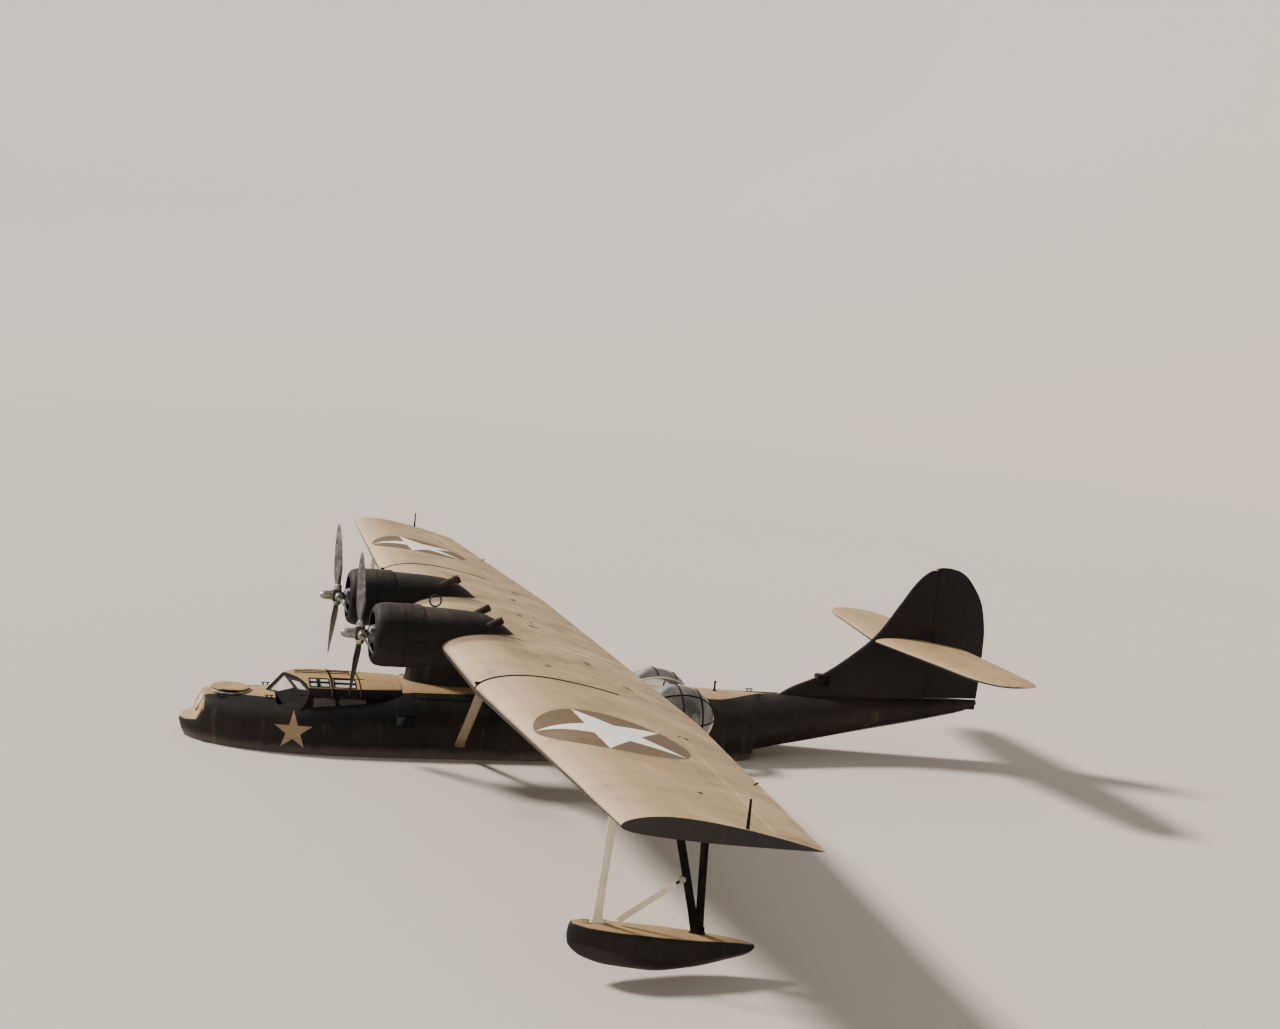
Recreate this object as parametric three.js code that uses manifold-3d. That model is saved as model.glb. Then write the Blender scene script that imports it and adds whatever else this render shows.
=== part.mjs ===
// Twin-engined flying boat afloat: stepped hull, wing on a pylon, folding tip floats.
// Stations run aft from the bow tip (x), to starboard (y) and up from a base line (z), in mm.
import * as THREE from 'three';
import { mergeVertices } from 'three/addons/utils/BufferGeometryUtils.js';
import Module from 'manifold-3d';

const wasm = await Module();
wasm.setup();

// Datum of the finished part: its origin lies on the waterline below the wing.
const ORIGIN_STATION = 7000;
const WATERLINE = 1150;

// Clearances: between parts that rest on each other, and round parts that move.
const SEAT_GAP = 0.3;
const SWING_GAP = 15;

// Hinge brackets of the control surfaces, at these shares of each hinge line.
const HINGE_SHARES = [0.12, 0.5, 0.88];
const HINGE_THICK = 24;

// Hull
const MAIN_STEP_X = 7600;
const REAR_STEP_X = 13100;
const HULL_ARC_POINTS = 7;
const BOW_WINDOW = { foot: [310, 1760], head: [500, 2150], halfWidth: 330, thick: 20 };
const BOW_HATCH = { x: 1030, radius: 420, well: 360, floor: 1450, rim: 2245, lid: 36 };
const COCKPIT = { front: 1980, rear: 4150, halfWidth: 900, floor: 1250, thick: 30 };
const WINDSCREEN = { foot: [1810, 0, 2215], head: [2150, 0, 2620], side: [2480, 1000, 2150] };
const WAIST = { front: 10450, rear: 12150, halfWidth: 900, floor: 1150, top: 2120 };
const BLISTER = { x: 11150, y: 880, z: 2130, radii: [900, 760, 760], thick: 12 };

// Wing
const HALF_SPAN_CENTRE = 6450;
const HALF_SPAN_FIXED = 15100;
const ROOT_CHORD = 4570;
const TIP_CHORD = 3170;
const ROOT_LEADING = { x: 5090, z: 3930 };
const TIP_LEADING = { x: 5430, z: 4130 };
const INCIDENCE = THREE.MathUtils.degToRad(6.7);
const WING_CAMBER = 0.02;
const ROOT_THICKNESS = 0.15;
const TIP_THICKNESS = 0.1;
// The aileron's hinge share of the chord, and its nose radius as a share of the wing's thickness.
const AILERON = { inner: 9000, outer: 14900, hinge: 0.77, nose: 0.22 };

// Engines
const ENGINE_Y = 2170;
const THRUST_Z = 4030;
const PROP_X = 3480;
const PROP_RADIUS = 1830;
const COWL = { front: 3700, rear: 4720, radius: 680, mouth: 470 };
const FIREWALL_X = 4600;
const NOSE_CASE_X = 3600;
const CYLINDERS_PER_ROW = 7;
const ROUND_SIDES = 32;

// Tip floats, in the frame of the hinge: x along the wing chord, z square to it.
const FLOAT_HINGE_Y = 13250;
const FLOAT_HINGE_DROP = 120;
const FLOAT_DECK = 1890;
const FLOAT_OFFSET = 60;
const LEG = { chord: 160, braceChord: 110, rail: 70, thick: 60, barrel: 240, barrelRadius: 42 };

// Tail
const RUDDER_HINGE_X = 18000;
const ELEVATOR_HINGE_X = 17930;
const STABILIZER_Z = 3990;
const STABILIZER_ROOT_Y = 60;

const COLOURS = {
  topside: { color: 0x8f8a80, roughness: 0.7, metalness: 0.0 },
  side: { color: 0x23211f, roughness: 0.6, metalness: 0.0 },
  metal: { color: 0x8b8a86, roughness: 0.4, metalness: 0.8 },
  dark: { color: 0x1a1918, roughness: 0.6, metalness: 0.2 },
  glass: { color: 0x9fb0b4, roughness: 0.1, metalness: 0.0 },
  seat: { color: 0x4a3a2a, roughness: 0.8, metalness: 0.0 },
  blade: { color: 0x2a2928, roughness: 0.5, metalness: 0.3 },
};

const vec = (x, y, z) => new THREE.Vector3(x, y, z);

// Solids and geometries

function toSolid(geometry) {
  const bare = geometry.clone();
  bare.deleteAttribute('normal');
  bare.deleteAttribute('uv');
  const merged = mergeVertices(bare, 0.01);
  const corners = [];
  for (let i = 0; i < merged.index.count; i += 3) {
    const [a, b, c] = [0, 1, 2].map((k) => merged.index.getX(i + k));
    if (a !== b && b !== c && c !== a) corners.push(a, b, c);
  }
  return new wasm.Manifold(new wasm.Mesh({
    numProp: 3,
    vertProperties: merged.attributes.position.array,
    triVerts: Uint32Array.from(corners),
  }));
}

function toGeometry(solid) {
  const cut = solid.getMesh();
  const geometry = new THREE.BufferGeometry();
  geometry.setAttribute('position', new THREE.BufferAttribute(cut.vertProperties, 3));
  geometry.setIndex(new THREE.BufferAttribute(cut.triVerts, 1));
  return geometry;
}

// The same shape on the other side of the plane y = 0.
function mirrored(geometry) {
  const twin = geometry.clone().scale(1, -1, 1);
  const corners = Array.from(twin.index.array);
  for (let i = 0; i < corners.length; i += 3) {
    [corners[i], corners[i + 1]] = [corners[i + 1], corners[i]];
  }
  twin.setIndex(corners);
  return twin;
}

function signedVolume(points, corners) {
  let sum = 0;
  for (let i = 0; i < corners.length; i += 3) {
    const [a, b, c] = [points[corners[i]], points[corners[i + 1]], points[corners[i + 2]]];
    sum += a.dot(vec(0, 0, 0).crossVectors(b, c));
  }
  return sum / 6;
}

// Skin over rings of equal count, closed at both ends by strips between points k and count - k.
// Its second half splits its faces the other way, so that a symmetric ring gives a symmetric skin.
function loft(rings) {
  const count = rings[0].length;
  const half = count / 2;
  const corners = [];
  const face = (a, b, c) => {
    if (a !== b && b !== c && c !== a) corners.push(a, b, c);
  };
  for (let r = 0; r + 1 < rings.length; r += 1) {
    for (let k = 0; k < count; k += 1) {
      const a = r * count + k;
      const b = r * count + ((k + 1) % count);
      if (k < half) {
        face(a, b, b + count);
        face(a, b + count, a + count);
      } else {
        face(a, b, a + count);
        face(b, b + count, a + count);
      }
    }
  }
  const last = (rings.length - 1) * count;
  for (let k = 0; k < half; k += 1) {
    const near = (count - k) % count;
    const far = count - k - 1;
    face(k + 1, k, near);
    face(k + 1, near, far);
    face(last + k, last + k + 1, last + near);
    face(last + near, last + k + 1, last + far);
  }
  const points = rings.flat();
  if (signedVolume(points, corners) < 0) corners.reverse();
  const geometry = new THREE.BufferGeometry().setFromPoints(points);
  geometry.setIndex(corners);
  return toSolid(geometry);
}

function box(x0, x1, y0, y1, z0, z1) {
  const geometry = new THREE.BoxGeometry(x1 - x0, y1 - y0, z1 - z0);
  return toSolid(geometry.translate((x0 + x1) / 2, (y0 + y1) / 2, (z0 + z1) / 2));
}

// Prism over an outline: 'z' takes [x, y] points and runs up, 'y' takes [x, z] points.
function slab(outline, axis, from, to) {
  const shape = new THREE.Shape(outline.map(([a, b]) => new THREE.Vector2(a, b)));
  const geometry = new THREE.ExtrudeGeometry(shape, { depth: to - from, bevelEnabled: false });
  if (axis === 'z') return toSolid(geometry.translate(0, 0, from));
  return toSolid(geometry.rotateX(Math.PI / 2).translate(0, to, 0));
}

// Round body about the x axis; profile holds [x, radius] pairs.
function turned(profile, sides = ROUND_SIDES) {
  const outline = profile.map(([x, r]) => new THREE.Vector2(r, x));
  const geometry = new THREE.LatheGeometry(outline, sides).rotateZ(-Math.PI / 2);
  return toSolid(geometry);
}

// Round or streamlined bar from a to b: `wide` across along `flat`, `thick` the other way.
function bar(a, b, wide, thick, flat, sides = 12) {
  const along = b.clone().sub(a).normalize();
  const across = flat.clone().addScaledVector(along, -flat.dot(along)).normalize();
  const other = vec(0, 0, 0).crossVectors(along, across);
  return loft([a, b].map((end) => Array.from({ length: sides }, (_, k) => {
    const turn = (2 * Math.PI * k) / sides;
    return end.clone()
      .addScaledVector(across, (wide / 2) * Math.cos(turn))
      .addScaledVector(other, (thick / 2) * Math.sin(turn));
  })));
}

const join = (solids) => solids.reduce((sum, solid) => sum.add(solid));

// The room that a seated neighbour leaves: the solid moved by the seat gap in each given way.
const roomOf = (solid, ways) => join(ways.map((way) => solid.translate(...way.map((n) => n * SEAT_GAP))));

// Everything on the outer side of a plane, as a large block.
function beyond(point, normal, reach = 3000) {
  const geometry = new THREE.BoxGeometry(2 * reach, 2 * reach, reach).translate(0, 0, reach / 2);
  const turn = new THREE.Quaternion().setFromUnitVectors(vec(0, 0, 1), normal);
  return toSolid(geometry.applyQuaternion(turn).translate(point.x, point.y, point.z));
}

// Sections

// Hull section: keel, chine and side points, then a superellipse over the top.
function hullRing([x, keelZ, chineY, chineZ, sideY, sideZ, topZ, square]) {
  const flareZ = keelZ + 0.62 * (chineZ - keelZ);
  const half = [[0, keelZ], [0.72 * chineY, flareZ], [chineY, chineZ]];
  for (let k = 0; k < HULL_ARC_POINTS; k += 1) {
    const turn = (0.5 * Math.PI * k) / HULL_ARC_POINTS;
    half.push([
      sideY * Math.cos(turn) ** (2 / square),
      sideZ + (topZ - sideZ) * Math.sin(turn) ** (2 / square),
    ]);
  }
  const ring = half.map(([y, z]) => vec(x, y, z));
  ring.push(vec(x, 0, topZ));
  half.slice(1).reverse().forEach(([y, z]) => ring.push(vec(x, -y, z)));
  return ring;
}

// Points round an aerofoil of unit chord, from the trailing edge over the top and back below.
function aerofoil(thickness, camber, steps = 9) {
  const crest = 0.3;
  const side = (x, sign) => {
    const root = 0.2969 * Math.sqrt(x) - 0.126 * x;
    const tail = -0.3516 * x ** 2 + 0.2843 * x ** 3 - 0.1036 * x ** 4;
    const bow = x < crest
      ? (camber / crest ** 2) * (2 * crest * x - x ** 2)
      : (camber / (1 - crest) ** 2) * (1 - 2 * crest + 2 * crest * x - x ** 2);
    return [x, bow + sign * 5 * thickness * (root + tail)];
  };
  const at = (k) => 0.5 + 0.5 * Math.cos((Math.PI * k) / steps);
  const upper = Array.from({ length: steps + 1 }, (_, k) => side(at(k), 1));
  const lower = Array.from({ length: steps - 1 }, (_, k) => side(at(steps - 1 - k), -1));
  return upper.concat(lower);
}

function wingRing({ x, y, z, chord, thickness, camber = 0, incidence = 0 }) {
  const [c, s] = [Math.cos(incidence), Math.sin(incidence)];
  return aerofoil(thickness, camber).map(([a, b]) => vec(
    x + chord * (a * c + b * s),
    y,
    z + chord * (b * c - a * s),
  ));
}

// Upright section for fin, rudder and pylon: columns z, leading x, trailing x, full thickness.
function uprightRing([z, front, rear, thick]) {
  const chord = rear - front;
  return aerofoil(thick / chord, 0).map(([a, b]) => vec(front + chord * a, chord * b, z));
}

// Splits a surface into its fixed part and the flap behind a hinge line. The line runs from
// `inner` to `outer`, `axis` is the way through the surface, and `rear` lies past its edge.
function splitFlap(whole, inner, outer, radii, axis, rear) {
  const flat = (p) => (axis === 'z' ? [p.x, p.y] : [p.x, p.z]);
  const [a, b] = [flat(inner), flat(outer)];
  const reach = 20000;
  const outline = (front, pull) => [
    [a[0] - front[0], a[1] + pull],
    [b[0] - front[1], b[1] - pull],
    [rear, b[1] - pull],
    [rear, a[1] + pull],
  ];
  const behind = slab(outline([0, 0], SWING_GAP), axis, -reach, reach);
  const cleared = slab(outline(radii.map((r) => r + SWING_GAP), 0), axis, -reach, reach);
  const along = outer.clone().sub(inner).normalize();
  const ends = [
    inner.clone().addScaledVector(along, 2 * SWING_GAP),
    outer.clone().addScaledVector(along, -2 * SWING_GAP),
  ];
  let fixed = whole.subtract(cleared);
  let flap = whole.intersect(behind).add(rod(...ends, radii));
  for (const share of HINGE_SHARES) {
    const at = inner.clone().lerp(outer, share);
    const radius = THREE.MathUtils.lerp(radii[0], radii[1], share);
    fixed = fixed.add(hingeBracket(at, along, radius));
    const half = HINGE_THICK / 2 + SEAT_GAP;
    const room = 1.1 * radius + 8;
    const faces = [-half, half].map((shift) => at.clone().addScaledVector(along, shift));
    flap = flap.subtract(rod(...faces, [room, room]));
  }
  return { fixed, flap };
}

// Flat bracket that holds a flap on its hinge line, reaching forward into the fixed part.
function hingeBracket(at, along, radius) {
  const [front, back] = [radius + SWING_GAP + 60, 0.5 * radius];
  const aft = vec(1, 0, 0).addScaledVector(along, -along.x).normalize();
  const centre = at.clone().addScaledVector(aft, (back - front) / 2);
  const faces = [-1, 1].map((side) => centre.clone().addScaledVector(along, (side * HINGE_THICK) / 2));
  return bar(...faces, front + back, radius, vec(1, 0, 0), 10);
}

// Round rod that tapers from one radius to the other.
function rod(a, b, radii, sides = 16) {
  const along = b.clone().sub(a).normalize();
  const across = vec(1, 0, 0).addScaledVector(along, -along.x).normalize();
  const other = vec(0, 0, 0).crossVectors(along, across);
  return loft([a, b].map((end, i) => Array.from({ length: sides }, (_, k) => {
    const turn = (2 * Math.PI * k) / sides;
    return end.clone()
      .addScaledVector(across, radii[i] * Math.cos(turn))
      .addScaledVector(other, radii[i] * Math.sin(turn));
  })));
}

// The hull
// Columns: x, keel z, chine y, chine z, side y, side z, top z, squareness of the top.
const FOREBODY = [
  [0, 1430, 90, 1530, 100, 1570, 1630, 2.5],
  [120, 1180, 260, 1450, 290, 1540, 1680, 2.5],
  [300, 900, 420, 1330, 480, 1560, 1740, 2.6],
  [480, 670, 550, 1220, 630, 1560, 2165, 3.4],
  [800, 400, 730, 1100, 820, 1530, 2190, 3.2],
  [1300, 270, 980, 960, 1040, 1500, 2200, 3.0],
  [1900, 215, 1200, 870, 1220, 1480, 2225, 2.8],
  [2700, 200, 1400, 810, 1370, 1480, 2380, 2.5],
  [3600, 200, 1510, 780, 1430, 1500, 2480, 2.3],
  [5000, 200, 1550, 760, 1450, 1500, 2600, 2.2],
  [MAIN_STEP_X, 200, 1550, 760, 1450, 1500, 2600, 2.2],
];
const AFTERBODY = [
  [MAIN_STEP_X - 100, 370, 1500, 890, 1450, 1500, 2600, 2.2],
  [9500, 540, 1400, 960, 1420, 1530, 2600, 2.2],
  [11500, 790, 1230, 1080, 1310, 1600, 2600, 2.2],
  [REAR_STEP_X, 1010, 1000, 1210, 1110, 1720, 2560, 2.2],
];
const TAILBODY = [
  [REAR_STEP_X - 100, 1140, 940, 1400, 1118, 1714, 2562, 2.2],
  [14500, 1370, 640, 1600, 800, 1900, 2570, 2.2],
  [16500, 1750, 380, 1930, 500, 2130, 2590, 2.2],
  [18300, 2110, 190, 2230, 240, 2350, 2600, 2.1],
  [19360, 2390, 60, 2440, 80, 2490, 2590, 2.0],
  [19500, 2480, 20, 2500, 25, 2520, 2550, 2.0],
];

const hullWhole = join([FOREBODY, AFTERBODY, TAILBODY].map((rows) => loft(rows.map(hullRing))));

const bowSlope = vec(
  BOW_WINDOW.foot[1] - BOW_WINDOW.head[1],
  0,
  BOW_WINDOW.head[0] - BOW_WINDOW.foot[0],
).normalize();

// The sloping flat of the bow, cut above the shelf in front of it.
function bowCut() {
  const [footX, footZ] = BOW_WINDOW.foot;
  const [headX, headZ] = BOW_WINDOW.head;
  const outline = [[-200, footZ - 40], [footX, footZ], [headX, headZ], [headX + 30, 2400], [-200, 2400]];
  return slab(outline, 'y', -900, 900);
}

function blisterShape(shrink) {
  const [rx, ry, rz] = BLISTER.radii.map((r) => r - shrink);
  const ball = new THREE.SphereGeometry(1, 20, 10).rotateX(Math.PI / 2).scale(rx, ry, rz);
  return toSolid(ball.translate(BLISTER.x, BLISTER.y, BLISTER.z));
}

const mirrorSolid = (solid) => toSolid(mirrored(toGeometry(solid)));

function hull() {
  const pane = bowPane(1);
  const rim = turnedUp(BOW_HATCH.x, BOW_HATCH.radius, 2080, BOW_HATCH.rim);
  const well = turnedUp(BOW_HATCH.x, BOW_HATCH.well, BOW_HATCH.floor, 2600);
  const cockpit = box(
    COCKPIT.front, COCKPIT.rear, -COCKPIT.halfWidth, COCKPIT.halfWidth, COCKPIT.floor, 3200,
  );
  const waist = box(
    WAIST.front, WAIST.rear, -WAIST.halfWidth, WAIST.halfWidth, WAIST.floor, WAIST.top,
  );
  const bulge = blisterShape(BLISTER.thick + 20);
  const aboveFloor = box(9000, 14000, 0, 4000, WAIST.floor + 500, 4000);
  const bay = bulge.intersect(aboveFloor).subtract(box(9000, 14000, -500, 420, 0, 4000));
  return hullWhole
    .subtract(bowCut())
    .add(rim)
    .subtract(pane)
    .subtract(well)
    .subtract(cockpit)
    .subtract(waist)
    .subtract(bay)
    .subtract(mirrorSolid(bay));
}

// Upright cylinder on the centre line.
function turnedUp(x, radius, from, to) {
  const geometry = new THREE.CylinderGeometry(radius, radius, to - from, ROUND_SIDES);
  return toSolid(geometry.rotateX(Math.PI / 2).translate(x, 0, (from + to) / 2));
}

// The flat pane of the bow, set into the slope; `spare` widens it to cut its seat.
function bowPane(spare = 0) {
  const [footX, footZ] = BOW_WINDOW.foot;
  const [headX, headZ] = BOW_WINDOW.head;
  const rise = Math.hypot(headX - footX, headZ - footZ);
  const extra = spare * SEAT_GAP;
  const height = 0.72 * rise + 2 * extra;
  const width = 2 * (BOW_WINDOW.halfWidth + extra);
  const depth = BOW_WINDOW.thick + 2 * extra;
  const turn = new THREE.Quaternion().setFromUnitVectors(vec(1, 0, 0), bowSlope);
  const centre = vec((footX + headX) / 2, 0, (footZ + headZ) / 2);
  const geometry = new THREE.BoxGeometry(depth, width, height).applyQuaternion(turn);
  return toSolid(geometry.translate(centre.x, centre.y, centre.z));
}

function bowHatch() {
  const { x, radius, rim, lid } = BOW_HATCH;
  const disc = turnedUp(x, radius - 10, rim + SEAT_GAP, rim + lid);
  const hinge = bar(vec(x + radius, -90, rim + 14), vec(x + radius, 90, rim + 14), 27, 27, vec(1, 0, 0));
  const strap = box(x + radius - 60, x + radius, -60, 60, rim + SEAT_GAP, rim + 24);
  return disc.add(strap).add(hinge);
}

// Cockpit enclosure
// Columns: x, half width at the sill, sill z, roof z, squareness.
const CANOPY = [
  [1700, 960, 1950, 2640, 2.6],
  [2300, 1090, 1980, 2640, 2.6],
  [3300, 1120, 2000, 2630, 2.6],
  [3900, 1120, 2020, 2625, 2.5],
  [4700, 1080, 2050, 2600, 2.3],
];

function canopyShape(inset) {
  const rings = CANOPY.map(([x, halfY, sillZ, roofZ, square]) => {
    const points = [];
    const steps = 12;
    for (let k = 0; k <= steps; k += 1) {
      const turn = (Math.PI * k) / steps;
      const c = Math.cos(turn);
      points.push(vec(
        x,
        Math.sign(c) * (halfY - inset) * Math.abs(c) ** (2 / square),
        sillZ + (roofZ - inset - sillZ) * Math.sin(turn) ** (2 / square),
      ));
    }
    return [vec(x, 0, sillZ - 600), vec(x, halfY - inset, sillZ - 600), ...points,
      vec(x, inset - halfY, sillZ - 600)];
  });
  let shape = loft(rings);
  for (const side of [-1, 1]) {
    const [foot, head, edge] = ['foot', 'head', 'side'].map((key) => vec(...WINDSCREEN[key]));
    edge.y *= side;
    const normal = vec(0, 0, 0).crossVectors(head.sub(foot), edge.sub(foot)).normalize();
    if (normal.x > 0) normal.negate();
    shape = shape.subtract(beyond(foot.clone().addScaledVector(normal, -inset), normal));
  }
  return shape;
}

// Columns: x from, x to, |y| from, |y| to, z from, z to.
const CANOPY_WINDOWS = [
  [2620, 3220, 700, 1300, 2110, 2330],
  [3300, 3900, 700, 1300, 2110, 2330],
  [2560, 3060, 140, 760, 2450, 2800],
  [3130, 3630, 140, 760, 2450, 2800],
];

function canopy() {
  const hollow = canopyShape(COCKPIT.thick).subtract(box(COCKPIT.rear + 60, 5000, -1500, 1500, 0, 4000));
  let shell = canopyShape(0).subtract(hollow).subtract(hullWhole.translate(0, 0, SEAT_GAP));
  for (const [x0, x1, y0, y1, z0, z1] of CANOPY_WINDOWS) {
    shell = shell.subtract(box(x0, x1, y0, y1, z0, z1)).subtract(box(x0, x1, -y1, -y0, z0, z1));
  }
  for (const side of [-1, 1]) shell = shell.subtract(windscreenOpening(side));
  return shell;
}

function windscreenOpening(side) {
  const [foot, head, edge] = ['foot', 'head', 'side'].map((key) => vec(...WINDSCREEN[key]));
  edge.y *= side;
  const up = head.clone().sub(foot);
  const out = edge.clone().sub(foot);
  const normal = vec(0, 0, 0).crossVectors(up, out).normalize();
  const corner = (a, b) => foot.clone().addScaledVector(up, a).addScaledVector(out, b);
  const ring = (shift) => [corner(0.3, 0.06), corner(0.88, 0.06), corner(0.84, 0.66), corner(0.3, 0.76)]
    .map((p) => p.addScaledVector(normal, shift));
  return loft([ring(-200), ring(200)]);
}

function canopyGlass() {
  const outer = canopyShape(COCKPIT.thick + SEAT_GAP);
  const inner = canopyShape(COCKPIT.thick + 8);
  const behind = box(COCKPIT.rear + 20, 6000, -1500, 1500, 0, 4000);
  const sill = box(1000, 6000, -1500, 1500, 0, 2000);
  return outer.subtract(inner).subtract(behind).subtract(sill).subtract(hullWhole.translate(0, 0, 1));
}

// Cockpit fittings

function pilotSeat(y) {
  const [x, floor, wide] = [3000, COCKPIT.floor + SEAT_GAP, 250];
  const pan = box(x - 230, x + 250, y - wide, y + wide, floor + 330, floor + 400);
  const back = slab(
    [[x + 190, floor + 360], [x + 260, floor + 360], [x + 340, floor + 1000], [x + 270, floor + 1000]],
    'y', y - wide, y + wide,
  );
  const sides = [-1, 1].map((s) => box(
    x - 150, x + 250, y + s * wide - 20, y + s * wide + 20, floor + 360, floor + 560,
  ));
  const legs = [-170, 170].map((dx) => box(x + dx - 30, x + dx + 30, y - 180, y + 180, floor, floor + 340));
  return join([pan, back, ...sides, ...legs]);
}

function instrumentPanel() {
  const wide = COCKPIT.halfWidth - SEAT_GAP;
  const face = slab([[2330, 1700], [2370, 1700], [2390, 2120], [2350, 2120]], 'y', -wide, wide);
  const coaming = slab([[2280, 2100], [2430, 2100], [2430, 2125], [2280, 2135]], 'y', -wide, wide);
  return face.add(coaming);
}

function controlYoke() {
  const floor = COCKPIT.floor + SEAT_GAP;
  const [x, top, reach] = [2560, 1900, 800];
  const legs = [-reach, reach].map((y) => bar(vec(x, y, floor), vec(x, y, top), 60, 60, vec(1, 0, 0), 8));
  const cross = bar(vec(x, -reach, top), vec(x, reach, top), 60, 60, vec(1, 0, 0), 8);
  const wheels = [-450, 450].map((y) => {
    const rim = new THREE.TorusGeometry(150, 14, 6, 16).rotateY(Math.PI / 2);
    return toSolid(rim.translate(x + 60, y, top));
  });
  const spokes = [-450, 450].map((y) => box(x - 20, x + 66, y - 150, y + 150, top - 12, top + 12));
  return join([...legs, cross, ...wheels, ...spokes]);
}

// Wing

const wingAt = (y) => {
  const share = Math.max(0, (Math.abs(y) - HALF_SPAN_CENTRE) / (HALF_SPAN_FIXED - HALF_SPAN_CENTRE));
  return {
    x: THREE.MathUtils.lerp(ROOT_LEADING.x, TIP_LEADING.x, share),
    y,
    z: THREE.MathUtils.lerp(ROOT_LEADING.z, TIP_LEADING.z, share),
    chord: THREE.MathUtils.lerp(ROOT_CHORD, TIP_CHORD, share),
    thickness: THREE.MathUtils.lerp(ROOT_THICKNESS, TIP_THICKNESS, share),
    camber: WING_CAMBER,
    incidence: INCIDENCE,
  };
};

// A point of the wing in its own section: a is the share of the chord, b mm above its line.
function wingPoint(y, a, b = 0) {
  const { x, z, chord } = wingAt(y);
  const [c, s] = [Math.cos(INCIDENCE), Math.sin(INCIDENCE)];
  return vec(x + a * chord * c + b * s, y, z - a * chord * s + b * c);
}

const wingCentre = loft([-HALF_SPAN_CENTRE, HALF_SPAN_CENTRE].map((y) => wingRing(wingAt(y))));

// Everything above the chord plane of the centre wing, less a little to lie inside it.
const aboveChord = beyond(
  vec(ROOT_LEADING.x, 0, ROOT_LEADING.z - 20),
  vec(Math.sin(INCIDENCE), 0, Math.cos(INCIDENCE)),
  12000,
);

const floatHinge = wingPoint(FLOAT_HINGE_Y, 0, -FLOAT_HINGE_DROP);

// Frame of the starboard float: a front leg, a rear leg in a V, a brace and a rail that ties
// the feet, each from its top [x, z] to its foot [x, z] in the hinge frame.
const FLOAT_MEMBERS = [
  { top: [570, 0], foot: [700, -FLOAT_DECK], chord: LEG.chord },
  { top: [1555, 0], foot: [2325, -FLOAT_DECK], chord: LEG.chord },
  { top: [2065, 0], foot: [2375, -FLOAT_DECK], chord: LEG.chord },
  { top: [1915, -1070], foot: [1025, -FLOAT_DECK + 60], chord: LEG.braceChord },
  { top: [655, -FLOAT_DECK + 25], foot: [855, -FLOAT_DECK + 25], chord: LEG.rail },
];
const FLOAT_BARRELS = [570, 1555, 2065];

// Both ends of a member as 2-D vectors, its foot carried on by some way.
function memberEnds({ top, foot }, extra) {
  const [a, b] = [top, foot].map((p) => new THREE.Vector2(...p));
  const along = b.clone().sub(a).normalize();
  return { a, b: b.addScaledVector(along, extra), along };
}

// Room in the wing for the folded frame, in the hinge frame.
function floatRecess() {
  const [low, spare] = [-600, 12];
  const slots = FLOAT_MEMBERS.map((member) => {
    const { a, b, along } = memberEnds(member, 300);
    const side = new THREE.Vector2(-along.y, along.x).multiplyScalar(member.chord / 2 + spare);
    const start = a.clone().addScaledVector(along, -spare);
    const corners = [[start, 1], [b, 1], [b, -1], [start, -1]].map(([p, way]) => [
      p.x + way * side.x,
      -p.y - way * side.y,
    ]);
    return slab(corners, 'z', low, LEG.thick / 2 + 10);
  });
  const half = LEG.barrel / 2 + SEAT_GAP;
  const pockets = FLOAT_BARRELS.map((x) => box(x - half, x + half, -52, 52, low, 52));
  return join([...slots, ...pockets]);
}

const intoHinge = (solid) => {
  const geometry = toGeometry(solid).rotateY(INCIDENCE);
  return toSolid(geometry.translate(floatHinge.x, floatHinge.y, floatHinge.z));
};

function outerWing() {
  const whole = loft([HALF_SPAN_CENTRE + 2 * SEAT_GAP, HALF_SPAN_FIXED].map((y) => wingRing(wingAt(y))));
  const { inner, outer, hinge, nose } = AILERON;
  const [a, b] = [inner, outer].map((y) => wingPoint(y, hinge, 0.012 * wingAt(y).chord));
  const radii = [inner, outer].map(wingAt).map(({ chord, thickness }) => nose * thickness * chord);
  const parts = splitFlap(whole, a, b, radii, 'z', 11000);
  return { fixed: parts.fixed.subtract(intoHinge(floatRecess())), flap: parts.flap };
}

// Pylon: columns z, leading x, trailing x, full thickness.
const PYLON = [
  [2250, 4500, 9500, 1150],
  [2650, 4850, 9100, 960],
  [3350, 4900, 9000, 940],
  [4050, 4700, 9300, 1150],
];

function pylon() {
  return loft(PYLON.map(uprightRing))
    .subtract(roomOf(wingCentre, [[0, 0, -1]]))
    .subtract(aboveChord)
    .subtract(roomOf(hullWhole, [[0, 0, 1]]));
}

// Wing struts: columns name, foot [x, y, z] on the hull, head [x, y, z] under the wing, chord.
const STRUTS = [
  ['front', [5970, 1450, 1470], [5680, 4700, 3640], 210],
  ['rear', [8000, 1430, 1480], [7650, 4700, 3300], 190],
];

function wingStrut(foot, head, chord) {
  const [a, b] = [vec(...foot), vec(...head)];
  const along = b.clone().sub(a).normalize();
  const rod = bar(a.addScaledVector(along, -200), b.addScaledVector(along, 300), chord, 85, vec(1, 0, 0), 12);
  return rod
    .subtract(wingCentre.translate(0, 0, -SEAT_GAP))
    .subtract(aboveChord)
    .subtract(hullWhole.translate(0, SEAT_GAP, 0));
}

// Engine nacelles, with their origin on the thrust line at the bow station.
// Columns: x, centre z above the thrust line, half width, half height.
const NACELLE = [
  [FIREWALL_X, 0, 645 - SEAT_GAP, 645 - SEAT_GAP],
  [COWL.rear, 0, 645 - SEAT_GAP, 645 - SEAT_GAP],
  [COWL.rear + 20, 0, 640, 640],
  [5300, 0, 610, 620],
  [5700, 0, 570, 595],
  [6050, 0, 510, 550],
  [6250, 0, 440, 480],
  [6500, 0, 310, 340],
  [6700, 0, 180, 190],
  [6850, 0, 60, 70],
];

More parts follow.
